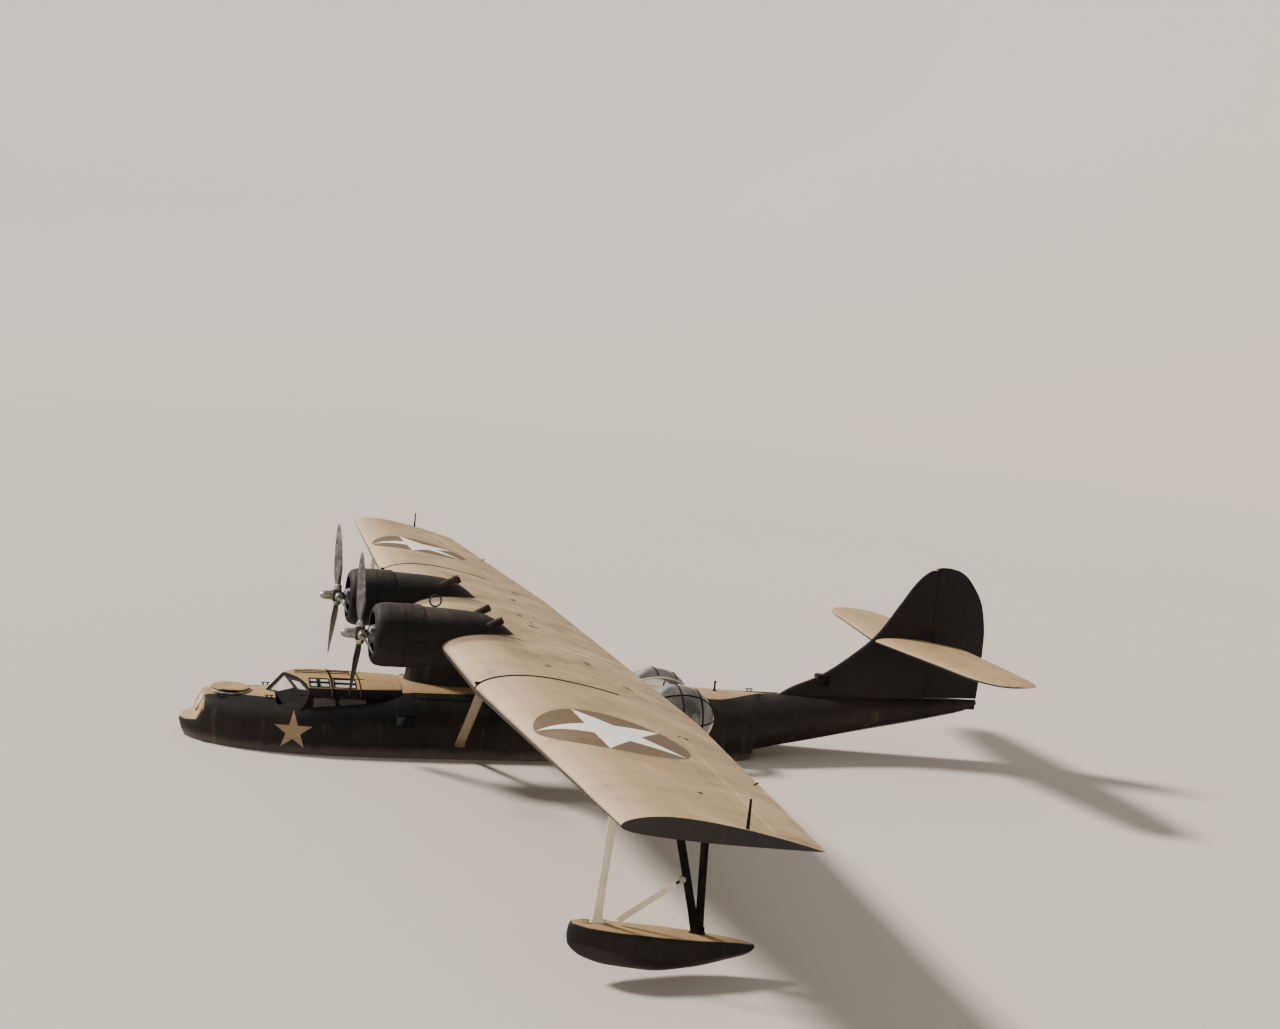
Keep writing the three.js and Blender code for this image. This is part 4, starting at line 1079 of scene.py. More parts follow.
FINISHES = {
    "hull_paint": (hull_paint, {"Specular_IOR_Level": .2}),
    "wing_paint": (wing_paint, {}),
    "tail_paint": (tail_paint, {}),
    "fin_paint": (fin_paint, {"Specular_IOR_Level": .2}),
    "nacelle_paint": (nacelle_paint, {"Specular_IOR_Level": .2}),
    "float_paint": (float_paint, {"Specular_IOR_Level": .2}),
    "pylon_paint": (pylon_paint, {"Specular_IOR_Level": .2}),
    "canopy_paint": (canopy_paint, {"Specular_IOR_Level": .03}),
    "leg_paint": (leg_paint, {}),
    "strut_paint": (strut_paint, {}),
    "dark_paint": (dark_paint, {"Specular_IOR_Level": .05}),
    "bare_metal": (bare_metal, {}),
    "dark_metal": (dark_metal, {}),
    "engine_case": (engine_case, {}),
    "exhaust_metal": (exhaust_metal, {}),
    "blade_paint": (blade_paint, {}),
    "canopy_glass": (canopy_glass, {"IOR": 1.5}),
    "painted_reflection_glass": (painted_reflection_glass, {"IOR": 1.5}),
    "dark_glass": (dark_glass, {"IOR": 1.5, "Coat_Weight": .5}),
    "cabin_paint": (cabin_paint, {}),
    "leather": (leather, {}),
    "instrument_black": (instrument_black, {}),
    "dial_face": (dial_face, {"Coat_Weight": 1.0}),
    "rubber": (rubber, {}),
}


def finish(name):
    """The named finish, built once."""
    title = f"{name}_finish"
    if title not in bpy.data.materials:
        build, constants = FINISHES[name]
        build(Look(title, **constants))
    return bpy.data.materials[title]


# Pieces that repeat along lines

class Tree:
    """A geometry tree with named inputs, while it is built."""

    def __init__(self, name, **inputs):
        self.tree = bpy.data.node_groups.new(name, "GeometryNodeTree")
        sockets = self.tree.interface
        sockets.new_socket("Geometry", in_out="INPUT", socket_type="NodeSocketGeometry")
        sockets.new_socket("Geometry", in_out="OUTPUT", socket_type="NodeSocketGeometry")
        for key, kind in inputs.items():
            sockets.new_socket(key, in_out="INPUT", socket_type=f"NodeSocket{kind}")
        self.inputs = self.tree.nodes.new("NodeGroupInput").outputs
        self.output = self.tree.nodes.new("NodeGroupOutput")

    def node(self, kind, settings=None, values=None):
        node = self.tree.nodes.new(kind)
        for key, value in (settings or {}).items():
            setattr(node, key, value)
        for key, value in (values or {}).items():
            if isinstance(value, bpy.types.NodeSocket):
                self.tree.links.new(value, node.inputs[key])
            else:
                node.inputs[key].default_value = value
        return node

    def close(self, geometry):
        """Ends the tree in real geometry with the material that its input names."""
        real = self.node("GeometryNodeRealizeInstances", values={"Geometry": geometry})
        coated = self.node("GeometryNodeSetMaterial", values={
            "Geometry": real.outputs[0], "Material": self.inputs["Finish"]})
        self.tree.links.new(coated.outputs[0], self.output.inputs[0])
        return self.tree


def stud_tree():
    """Small domed or flat-topped studs at a pitch along lines, standing along their `out` attribute."""
    if "studs" in bpy.data.node_groups:
        return bpy.data.node_groups["studs"]
    tree = Tree("studs", Pitch="Float", Radius="Float", Crown="Float", Height="Float", Sides="Int", Finish="Material")
    lines = tree.node("GeometryNodeMeshToCurve", values={"Mesh": tree.inputs["Geometry"]})
    points = tree.node("GeometryNodeResampleCurve", {"mode": "LENGTH"},
                       {"Curve": lines.outputs[0], "Length": tree.inputs["Pitch"]})
    stud = tree.node("GeometryNodeMeshCone", values={
        "Vertices": tree.inputs["Sides"], "Radius Top": tree.inputs["Crown"],
        "Radius Bottom": tree.inputs["Radius"], "Depth": tree.inputs["Height"]})
    out = tree.node("GeometryNodeInputNamedAttribute", {"data_type": "FLOAT_VECTOR"}, {"Name": "out"})
    turn = tree.node("FunctionNodeAlignRotationToVector", {"axis": "Z"}, {"Vector": out.outputs[0]})
    placed = tree.node("GeometryNodeInstanceOnPoints", values={
        "Points": points.outputs[0], "Instance": stud.outputs["Mesh"], "Rotation": turn.outputs[0]})
    return tree.close(placed.outputs[0])


def tape_tree():
    """Flat tapes along lines, lying on their `out` attribute."""
    if "tapes" in bpy.data.node_groups:
        return bpy.data.node_groups["tapes"]
    tree = Tree("tapes", Width="Float", Thickness="Float", Finish="Material")
    lines = tree.node("GeometryNodeMeshToCurve", values={"Mesh": tree.inputs["Geometry"]})
    out = tree.node("GeometryNodeInputNamedAttribute", {"data_type": "FLOAT_VECTOR"}, {"Name": "out"})
    set_up = tree.node("GeometryNodeSetCurveNormal", {"mode": "FREE"},
                       {"Curve": lines.outputs[0], "Normal": out.outputs[0]})
    strip = tree.node("GeometryNodeCurvePrimitiveQuadrilateral", {"mode": "RECTANGLE"}, {
        "Width": tree.inputs["Thickness"], "Height": tree.inputs["Width"]})
    solid = tree.node("GeometryNodeCurveToMesh", values={
        "Curve": set_up.outputs[0], "Profile Curve": strip.outputs[0], "Fill Caps": True})
    return tree.close(solid.outputs[0])


def along_lines(name, tree, lines, body, look, slot, **values):
    """Runs a geometry tree over lines of (points, outward ways) and keeps the plain mesh."""
    points, outs, edges = [], [], []
    for line, out in lines:
        base = len(points)
        points += list(np.asarray(line, float) - ORIGIN)
        outs += list(np.broadcast_to(np.asarray(out, float), (len(line), 3)))
        edges += [(base + k, base + k + 1) for k in range(len(line) - 1)]
    mesh = bpy.data.meshes.new(name)
    mesh.from_pydata([tuple(p) for p in points], edges, [])
    ways = mesh.attributes.new("out", "FLOAT_VECTOR", "POINT")
    ways.data.foreach_set("vector", np.concatenate(outs).astype(np.float32))
    thing = new_object(name, mesh)
    modifier = thing.modifiers.new("repeat", "NODES")
    modifier.node_group = tree
    values["Finish"] = finish(look)
    for item in tree.interface.items_tree:
        if item.in_out == "INPUT" and item.name in values:
            modifier[item.identifier] = values[item.name]
    evaluated(thing)
    thing.data.name = name
    if not len(thing.data.polygons):
        raise RuntimeError(f"{name} came out empty")
    return settle(thing, body, slot)


def studs(name, lines, body, look, slot, pitch, radius, height=None, crown=None, sides=6):
    height = height or radius * .5
    return along_lines(name, stud_tree(), lines, body, look, slot, Pitch=pitch, Radius=radius,
                       Crown=radius * .55 if crown is None else crown, Height=height, Sides=sides)


def tapes(name, lines, body, look, slot, width, thickness):
    return along_lines(name, tape_tree(), lines, body, look, slot, Width=width, Thickness=thickness)


def ring_line(centre, radius, axis="x", count=48, out="axis"):
    """A closed line round a centre, with its outward ways."""
    c, s = circle(count)
    c, s = np.append(c, c[0]), np.append(s, s[0])
    none = np.zeros(len(c))
    flat = {"x": np.column_stack([none, c, s]), "z": np.column_stack([c, s, none]),
            "y": np.column_stack([s, none, c])}[axis]
    ways = {"x": (-1, 0, 0), "z": (0, 0, 1), "y": (0, 1, 0)}[axis] if out == "axis" else flat
    return np.asarray(centre) + radius * flat, ways


# Settings

class BoatPaint(bpy.types.PropertyGroup):
    """Colours and marks of the paint."""
    # Tops and Sides are one paint in a sunlit and a shaded copy: the tan is painted sunlight, the near-black painted
    # shade.
    top: FloatVectorProperty(
        name="Tops", description="Paint that faces the sky", subtype="COLOR", default=tone(168, 139, 101))
    side: FloatVectorProperty(
        name="Sides", description="Paint of sides and undersides", subtype="COLOR", default=tone(17, 17, 19))
    # A lighter copy of the side colour for the nacelles' tops: painted light.
    nacelle_top_painted_light: FloatVectorProperty(
        name="Nacelle tops", description="Paint on top of the nacelles", subtype="COLOR", default=tone(48, 45, 44))
    chalk: FloatVectorProperty(
        name="Chalking", description="Bleached and dried paint", subtype="COLOR", default=tone(176, 154, 120))
    # Grime also colours the nacelles' painted shadow on the wing.
    grime_and_painted_shadow: FloatVectorProperty(
        name="Grime", description="Oil and dirt in the seams", subtype="COLOR", default=tone(34, 29, 25))
    salt: FloatVectorProperty(
        name="Salt", description="Dried salt over the waterline", subtype="COLOR", default=tone(160, 152, 140))
    bare: FloatVectorProperty(
        name="Chips", description="Metal where paint is gone", subtype="COLOR", default=tone(150, 145, 138))
    # This colour also paints the highlight along the wing's leading edge.
    bleach: FloatVectorProperty(
        name="Bleached tops", description="Paint that sun and salt took most of", subtype="COLOR",
        default=tone(214, 192, 160))
    # A bright coat standing for sunlight on the floats' front legs and braces: painted light. The blister sills take it
    # too.
    painted_sunlit_leg: FloatVectorProperty(
        name="Float legs", description="Paint of the floats' front legs", subtype="COLOR", default=tone(222, 212, 194))
    # The struts' colour is darkened as painted shade, for the shade under the wing.
    strut: FloatVectorProperty(
        name="Struts", description="Paint of the wing struts", subtype="COLOR", default=tone(128, 113, 92))
    # The bow star is the white star darkened by painted shade.
    bow_star_painted_shade: FloatVectorProperty(
        name="Bow star", description="Star on the shaded side of the bow", subtype="COLOR", default=tone(150, 130, 102))
    disc: FloatVectorProperty(
        name="Disc", description="Round field of the wing mark", subtype="COLOR", default=tone(90, 70, 46))
    star: FloatVectorProperty(
        name="Star", description="Star of the marks", subtype="COLOR", default=tone(240, 236, 228))
    star_y: FloatProperty(
        name="Star place", description="Distance of the wing mark from the centre line", default=10.2, unit="LENGTH")
    star_radius: FloatProperty(
        name="Star radius", description="Radius of the wing mark", default=1.36, unit="LENGTH")


class BoatDetail(bpy.types.PropertyGroup):
    """Sizes of what repeats."""
    rivet_pitch: FloatProperty(
        name="Rivet pitch", description="Distance between rivets of a row", default=.07, min=.02, unit="LENGTH")
    rivet_radius: FloatProperty(
        name="Rivet radius", description="Radius of a rivet's head", default=.006, min=.001, unit="LENGTH")
    frame_pitch: FloatProperty(
        name="Frame pitch", description="Distance between the hull's frames", default=.64, min=.2, unit="LENGTH")
    fin_pitch: FloatProperty(
        name="Cooling fin pitch", description="Distance between cooling fins", default=.021, min=.01, unit="LENGTH")
    flap_count: IntProperty(
        name="Cowl flaps", description="Flaps round the rear of a cowling", default=16, min=4, max=40)


class BoatStudio(bpy.types.PropertyGroup):
    """Floor, lights and camera."""
    floor: FloatVectorProperty(
        name="Floor", description="Colour of the studio floor", subtype="COLOR", default=tone(206, 198, 188))
    key: FloatProperty(name="Key light", description="Strength of the main light", default=6.0, min=0)
    sky: FloatProperty(name="Fill light", description="Strength of the light all round", default=.4, min=0)
    lens: FloatProperty(name="Lens", description="Focal length in millimetres", default=45.12, min=10)


# Operators

class BoatStep(bpy.types.Operator):
    """Base of the steps that each build a piece or a group of like pieces."""
    bl_idname = "boat.step"
    bl_label = "Boat step"
    bl_options = {"REGISTER", "UNDO"}

    def execute(self, context):
        self.build(context.scene.boat_detail)
        return {"FINISHED"}

    def build(self, detail):
        raise NotImplementedError


class BuildHull(BoatStep):
    """Skin of the hull with its steps, wells and bays, and its rubbing strips"""
    bl_idname = "boat.hull"
    bl_label = "Hull"

    def build(self, detail):
        thing = new_object("hull_skin", shape_of(self.skin()).mesh("hull_skin"), ["hull_paint"])
        foot, head = BOW_FOOT, BOW_HEAD
        bow = prism([(-.2, foot[1] - .04), foot, head, (head[0] + .03, 2.4), (-.2, 2.4)], "y", -.9, .9)
        carve(thing, [bow])
        well = turned([(HATCH["floor"], 0), (HATCH["floor"], HATCH["well"]), (2.6, HATCH["well"]), (2.6, 0)],
                      (HATCH["x"], 0, 0), "z", 64)
        c, w = COCKPIT, WAIST
        rooms = [well, self.room(c["front"], c["rear"], c["half"], c["floor"], 3.2),
                 self.room(w["front"], w["rear"], w["half"], w["floor"], w["top"])]
        rooms += [self.bay(1), self.bay(-1)]
        carve(thing, rooms, look="cabin_paint")
        settle(thing, "hull", "hull_paint", ["hull"])
        self.strips()
        self.rivets(detail)

    @staticmethod
    def skin():
        fore = table_at(FOREBODY, places(0, STEPS[0], 115, .015, .04, .08, .31, .36, .42, .46, .5, .55))
        aft = table_at(AFTERBODY, places(STEPS[0], STEPS[1], 60))
        tail = table_at(TAILBODY, places(STEPS[1], 19.5, 75, 19.46, 19.49))
        rings = [hull_ring(row) for row in fore]
        for x, size in ((0, .45), (.015, .72), (.04, .88), (.08, .97)):
            k = int(np.argmin(abs(fore[:, 0] - x)))
            middle = rings[k].mean(axis=0)
            rings[k] = middle + (rings[k] - middle) * size
        for rows in (aft, tail):
            step = hull_ring(rows[0])
            step[9:-8] = rings[-1][9:-8]
            rings.append(step)
            rings += [hull_ring(row) for row in rows[1:]]
        return skin(rings)

    @staticmethod
    def room(front, rear, half, low, high):
        size = (rear - front, 2 * half, high - low)
        return block(((front + rear) / 2, 0, (low + high) / 2), size, .03, corner=.08)

    @staticmethod
    def bay(side):
        radii = np.array(BLISTER["radii"]) - .032
        ball = blister_ball(radii)
        part = clipped(ball, ((0, 0, WAIST["floor"] + .5), (0, 0, -1)), ((0, .42, 0), (0, -1, 0)))
        return part[0] * (1, side, 1), part[1]

    @staticmethod
    def strips():
        """Rubbing strips along the chines and the keel."""
        strips = Shape()
        for table, start, end in ((FOREBODY, .35, 7.58), (AFTERBODY, 7.62, 13.08), (TAILBODY, 13.12, 18.9)):
            rows = table_at(table, places(start, end, int((end - start) * 9)))
            chine = np.column_stack([rows[:, 0], rows[:, 2] + .004, rows[:, 3]])
            keel = np.column_stack([rows[:, 0], np.zeros(len(rows)), rows[:, 1] + .0205])
            size = through([0, 1, len(rows) - 2, len(rows) - 1], [.3, 1, 1, .3], np.arange(len(rows)))
            for side in (-1, 1):
                strips.add(tube(chine, .016 * size, 8), side=side)
            strips.add(tube(keel, .02 * size, 8))
        piece("hull_rubbing_strips", strips, "hull", "hull_paint", "hull_paint")

    @staticmethod
    def rivets(detail):
        lines = []
        for x in np.arange(.74, 19.0, detail.frame_pitch):
            row = hull_row(x)
            half = hull_half(row, bottom=9, side=4, arc=14)
            for part in (half[:9], half[8:-1]):
                along = np.gradient(part, axis=0)
                out = np.column_stack([np.zeros(len(part)), along[:, 1], -along[:, 0]])
                out /= np.linalg.norm(out, axis=1)[:, None]
                line = np.column_stack([np.full(len(part), x), part])
                lines += [(line, out), (other_side(line), other_side(out))]
        open_top = ((1.75, 4.75), (10.2, 12.4), (.6, 1.5))
        kept = []
        for line, out in lines:
            x = line[0, 0]
            if any(a < x < b for a, b in open_top):
                low = line[:, 2] < (1.7 if x > 10 else 1.95)
                line, out = line[low], out[low]
            clear = line[:, 2] > .212
            line, out = line[clear], out[clear]
            if len(line) > 2:
                kept.append((line, out))
        studs("hull_rivets", kept, "hull", "hull_paint", "hull_paint", detail.rivet_pitch, detail.rivet_radius)


def blister_ball(radii, wide=64, high=32):
    """Closed ellipsoid of a blister, its poles fore and aft, on the starboard side."""
    turn = np.linspace(0, np.pi, high + 1)
    c, s = circle(wide)
    rings = [np.column_stack([np.full(wide, -math.cos(t) * radii[0]), math.sin(t) * radii[1] * c,
                              math.sin(t) * radii[2] * s]) + BLISTER["centre"] for t in turn]
    return skin(rings)


class BuildBow(BoatStep):
    """Pane of the bow with its frame, the ring of the bow hatch and its lid"""
    bl_idname = "boat.bow"
    bl_label = "Bow window and hatch"

    def build(self, detail):
        foot, head = Vector((BOW_FOOT[0], 0, BOW_FOOT[1])), Vector((BOW_HEAD[0], 0, BOW_HEAD[1]))
        slope = (head - foot).normalized()
        out = Vector((-slope.z, 0, slope.x))
        turn = Matrix((Vector((0, 1, 0)), slope, out)).transposed()
        middle = np.array((foot + head) / 2)
        height, half = .72 * (head - foot).length, .33
        frame_part = Shape()
        pane = block((0, 0, 0), (2 * half - .02, height - .02, .012), .003, turn.to_4x4(), corner=.03)
        frame_part.add((pane[0] + middle, pane[1]), 0)
        piece("bow_pane", frame_part, "hull", ["painted_reflection_glass"], "glazing", ["bow_window"])
        rim = Shape()
        outer, inner = rounded(2 * half + .07, height + .06, .05), rounded(2 * half - .03, height - .03, .035)
        rings = []
        for flat, lift in ((inner, -.004), (inner, .014), (outer, .014), (outer, -.004)):
            rings.append(middle + flat[:, :1] * np.array(turn.col[0]) + flat[:, 1:] * np.array(turn.col[1])
                         + lift * np.array(out))
        rim.add(skin(rings, closed=True))
        for share in (-.33, .33):
            at = middle + share * half * np.array(turn.col[0]) + .006 * np.array(out)
            a, b = at - np.array(slope) * height / 2, at + np.array(slope) * height / 2
            rim.add(bar(a, b, .026, .014, (0, 1, 0), 8))
        piece("bow_window_frame", rim, "hull", "hull_paint", "hull_paint")
        line = middle + np.append(outer, outer[:1], axis=0)[:, :1] * .97 * np.array(turn.col[0]) \
            + np.append(outer, outer[:1], axis=0)[:, 1:] * .95 * np.array(turn.col[1]) + .016 * np.array(out)
        studs("bow_window_screws", [(line, np.array(out))], "hull", "bare_metal", "bare_metal", .07, .006)
        self.hatch()

    @staticmethod
    def hatch():
        x, r, rim = HATCH["x"], HATCH["radius"], HATCH["rim"]
        ring = Shape()
        profile = [(1.9, r), (rim - .012, r), (rim, r - .012), (rim, r - .035), (rim - .02, r - .042),
                   (rim - .02, HATCH["well"] + .004), (1.9, HATCH["well"] + .004)]
        ring.add(turned(profile, (x, 0, 0), "z", 80, closed=True))
        profile = [(rim - .06, r + .001), (rim - .05, r + .02), (rim - .03, r + .02), (rim - .02, r + .001)]
        ring.add(turned(profile, (x, 0, 0), "z", 80, closed=True), 1)
        piece("bow_hatch_ring", ring, "hull", ["hull_paint", "bare_metal"], "hull_paint")
        lid = Shape()
        low, high = rim + .0005, rim + HATCH["lid"]
        lid.add(turned([(low, 0), (low, r - .02), (low + .006, r - .01), (high - .012, r - .012),
                        (high - .004, r - .03), (high - .006, r - .06), (high, .24), (high, .2), (high - .003, .19),
                        (high - .002, 0)], (x, 0, 0), "z", 80))
        for turn in np.arange(6) * math.pi / 3:
            way = np.array((math.cos(turn), math.sin(turn), 0))
            centre = np.array((x, 0, high - .006))
            lid.add(bar(centre + way * .21, centre + way * .36, .018, .012, (-way[1], way[0], 0), 10))
        lid.add(block((x + r - .03, 0, low + .012), (.06, .12, .02), .004))
        lid.add(tube([(x + r, -.09, rim + .014), (x + r, 0, rim + .014), (x + r, .09, rim + .014)], .0135, 16))
        handle = [(x - .06, -.05, high - .004), (x - .06, -.05, high), (x - .06, .05, high),
                  (x - .06, .05, high - .004)]
        lid.add(tube(handle, .005, 8))
        piece("bow_hatch_lid", lid, "bow_hatch", ["hull_paint"], "hull_paint", ["bow_hatch"])
        line, ways = ring_line((x, 0, high - .004), r - .045, "z")
        studs("bow_hatch_rivets", [(line, ways)], "bow_hatch", "hull_paint", "hull_paint", .05, .005)


def canopy_solid(inset=0.0):
    """Closed solid of the cockpit enclosure, its windscreen cut to two flat faces."""
    rings = []
    for x, half, sill, roof, square in table_at(CANOPY, places(1.7, 4.7, 46)):
        turn = np.linspace(0, np.pi, 61)
        c = np.cos(turn)
        over = np.column_stack([np.sign(c) * (half - inset) * abs(c) ** (2 / square),
                                sill + (roof - inset - sill) * np.sin(turn).clip(0) ** (2 / square)])
        low = sill - .5
        ring = np.concatenate([[(0, low), (half - inset, low)], over, [(inset - half, low)]])
        rings.append(np.column_stack([np.full(len(ring), x), ring]))
    planes = []
    for side in (-1, 1):
        foot, head, edge = (Vector(WINDSCREEN[key]) for key in ("foot", "head", "side"))
        edge.y *= side
        way = (head - foot).cross(edge - foot).normalized()
        way = -way if way.x > 0 else way
        planes.append((foot - way * inset, way))
    return clipped(skin(rings), *planes)


# Panes of half a windscreen: shares of the way up and of the way out, corner by corner.
SCREEN_PANES = (
    ((.08, .06), (.93, .06), (.57, .53), (.17, .3)),
    ((.59, .66), (.87, .27), (.92, .5), (.7, .84)),
)


def screen_panes(side, spare):
    """Corners of the windscreen panes of one side, widened by some metres, and the way they face."""
    foot, head, edge = (np.array(WINDSCREEN[key], float) for key in ("foot", "head", "side"))
    edge[1] *= side
    up, out = head - foot, edge - foot
    way = np.cross(up, out) / np.linalg.norm(np.cross(up, out))
    panes = [widened(np.array([foot + up * u + out * v for u, v in shares]), way, spare) for shares in SCREEN_PANES]
    return panes, way if way[0] < 0 else -way


def widened(corners, way, spare):
    """A flat outline with each edge moved outwards by some metres."""
    outs = []
    for at, after in zip(corners, np.roll(corners, -1, axis=0)):
        out = np.cross(after - at, way)
        out /= np.linalg.norm(out)
        outs.append(out if out.dot(at - corners.mean(axis=0)) > 0 else -out)
    moved = [at + np.linalg.solve(np.array([outs[k - 1], outs[k], way]), (spare, spare, 0))
             for k, at in enumerate(corners)]
    return np.array(moved)


def softened(corners, radius, steps=4):
    """A flat outline with its corners rounded."""
    points = []
    for k, at in enumerate(corners):
        before, after = corners[k - 1] - at, corners[(k + 1) % len(corners)] - at
        a = at + before / np.linalg.norm(before) * radius
        b = at + after / np.linalg.norm(after) * radius
        for t in np.linspace(0, 1, steps + 1):
            points.append((1 - t) ** 2 * a + 2 * t * (1 - t) * at + t * t * b)
    return np.array(points)


# Cockpit windows: the way they are cut, then x and z of a side window's corners, or x and y of a roof window's.
CANOPY_WINDOWS = [
    ("y", (2.74, 2.11, 3.22, 2.33)), ("y", (3.3, 2.11, 3.9, 2.33)),
    ("z", (2.68, .42, 2.84, .59)), ("z", (2.68, .63, 2.84, .79)),
    ("z", (2.9, .42, 3.1, .59)), ("z", (2.9, .63, 3.1, .79)),
    ("z", (3.22, .42, 3.68, .61)), ("z", (3.22, .65, 3.68, .8)),
]
ROOF_FIELDS = ((2.68, 3.1), (3.22, 3.68))  # first and last x of each frame on the roof
SIDE_FIELDS = ((2.74, 3.22), (3.3, 3.9))  # first and last x of each side window


class BuildCanopy(BoatStep):
    """Cockpit enclosure: its shell, window frames and panes"""
    bl_idname = "boat.canopy"
    bl_label = "Cockpit enclosure"

    def build(self, detail):
        shell = new_object("canopy_shell", shape_of(canopy_solid()).mesh("canopy"), ["canopy_paint"])
        hollow = clipped(canopy_solid(.03), ((4.2, 0, 0), (1, 0, 0)))
        carve(shell, [hollow], look="cabin_paint")
        carve(shell, self.openings(0.0))
        settle(shell, "hull", "hull_paint", ["cockpit_enclosure"])
        frames = new_object("canopy_frames", shape_of(canopy_solid(-.006)).mesh("frames"), ["dark_paint"])
        carve(frames, [canopy_solid(.022)])
        carve(frames, [self.bands(.016)], "INTERSECT")
        carve(frames, self.openings(-.004, False))
        settle(frames, "hull", "hull_paint")
        screens = Shape()
        for side in (-1, 1):
            (inners, way), (outers, _), (panes, _) = (screen_panes(side, spare) for spare in (-.004, .022, -.001))
            for inner, outer, pane in zip(inners, outers, panes):
                inner, outer, pane = softened(inner, .035), softened(outer, .05), softened(pane, .035)
                screens.add(skin([inner - way * .03, inner + way * .009, outer + way * .009, outer - way * .01],
                                 closed=True))
                screens.add(skin([pane - way * .02, pane - way * .012]), 1)
        piece("windscreens", screens, "hull", ["dark_paint", "painted_reflection_glass"], "glazing")
        fore_part = clipped(canopy_solid(.012), ((4.1, 0, 0), (1, 0, 0)))
        panes = new_object("canopy_panes", shape_of(fore_part).mesh("panes"), ["canopy_glass"])
        carve(panes, [canopy_solid(.02)])
        carve(panes, [shape_of(*self.openings(.01, False))], "INTERSECT")
        panes.data.materials.append(finish("painted_reflection_glass"))
        # Roof windows take the glass with the painted reflection; the side windows stay clear.
        for face in panes.data.polygons:
            face.material_index = int(face.center.z > 1.3)
        settle(panes, "hull", "glazing", ["cockpit_glass"])
        self.rails()

    @staticmethod
    def openings(spare, screens=True):
        parts = []
        for axis, (x0, a0, x1, a1) in CANOPY_WINDOWS:
            corner = (.05 if axis == "y" else .022) + spare
            flat = rounded(x1 - x0 + 2 * spare, a1 - a0 + 2 * spare, corner) + ((x0 + x1) / 2, (a0 + a1) / 2)
            for side in (-1, 1):
                if axis == "y":
                    parts.append(prism(flat, "y", *sorted((side * .7, side * 1.3))))
                else:
                    points, faces = prism(flat, "z", 2.4, 2.9)
                    parts.append((points * (1, side, 1), faces))
        for side in (-1, 1) if screens else ():
            corners, way = screen_panes(side, 0)
            for outline in (softened(pane, .035) for pane in corners):
                parts.append(skin([outline - way * .12, outline + way * .1]))
        return parts

    @staticmethod
    def bands(spare):
        """Fields of the window frames: one over each side's row of roof windows, and one round each side window."""
        parts = []
        for side in (-1, 1):
            for x0, x1 in ROOF_FIELDS:
                flat = rounded(x1 - x0 + 2 * spare, .38 + 2 * spare, .03) + ((x0 + x1) / 2, .61)
                points, faces = prism(flat, "z", 2.4, 2.9)
                parts.append((points * (1, side, 1), faces))
            for x0, x1 in SIDE_FIELDS:
                flat = rounded(x1 - x0 + 2 * spare, .22 + 2 * spare, .05 + spare) + ((x0 + x1) / 2, 2.22)
                parts.append(prism(flat, "y", *sorted((side * .9, side * 1.3))))
        return shape_of(*parts)

    @staticmethod
    def rails():
        """Sliding rails over the side windows, hoops and grab rails on the roof and the centre post."""
        rails = Shape()
        for x, r in ((3.16, .024), (3.78, .014)):
            _, half, sill, roof, square = table_at(CANOPY, np.array([x]))[0]
            turn = np.linspace(.16 * np.pi, .84 * np.pi, 50)
            c = np.cos(turn)
            rails.add(tube(np.column_stack([np.full(50, x), np.sign(c) * half * abs(c) ** (2 / square),
                                            sill + (roof - sill) * np.sin(turn) ** (2 / square)]), r, 10))
        for y in (-.37, .37):
            rails.add(tube([(x, y, float(np.interp(x, [3.1, 3.9], [2.622, 2.605])) + .004)
                            for x in np.linspace(3.16, 3.9, 8)], .012, 8))
        for side in (-1, 1):
            for z, r in ((2.36, .011), (2.085, .011)):
                path = []
                for x in np.linspace(2.45, 4.25, 24):
                    _, half, sill, roof, square = table_at(CANOPY, np.array([x]))[0]
                    y = half * (1 - ((z - sill) / (roof - sill)) ** square) ** (1 / square)
                    path.append((x, side * (y + .008), z))
                rails.add(tube(path, r, 8))
        foot, head = (np.array(WINDSCREEN[key]) for key in ("foot", "head"))
        rails.add(bar(foot + (head - foot) * .02, head, .05, .03, (0, 1, 0), 12))
        for y in (-.08, .08):
            rails.add(tube([(2.4, y, 2.63), (2.42, y, 2.665), (3.6, y, 2.662), (3.62, y, 2.62)], .011, 8))
        piece("canopy_rails", rails, "hull", "dark_paint", "hull_paint")


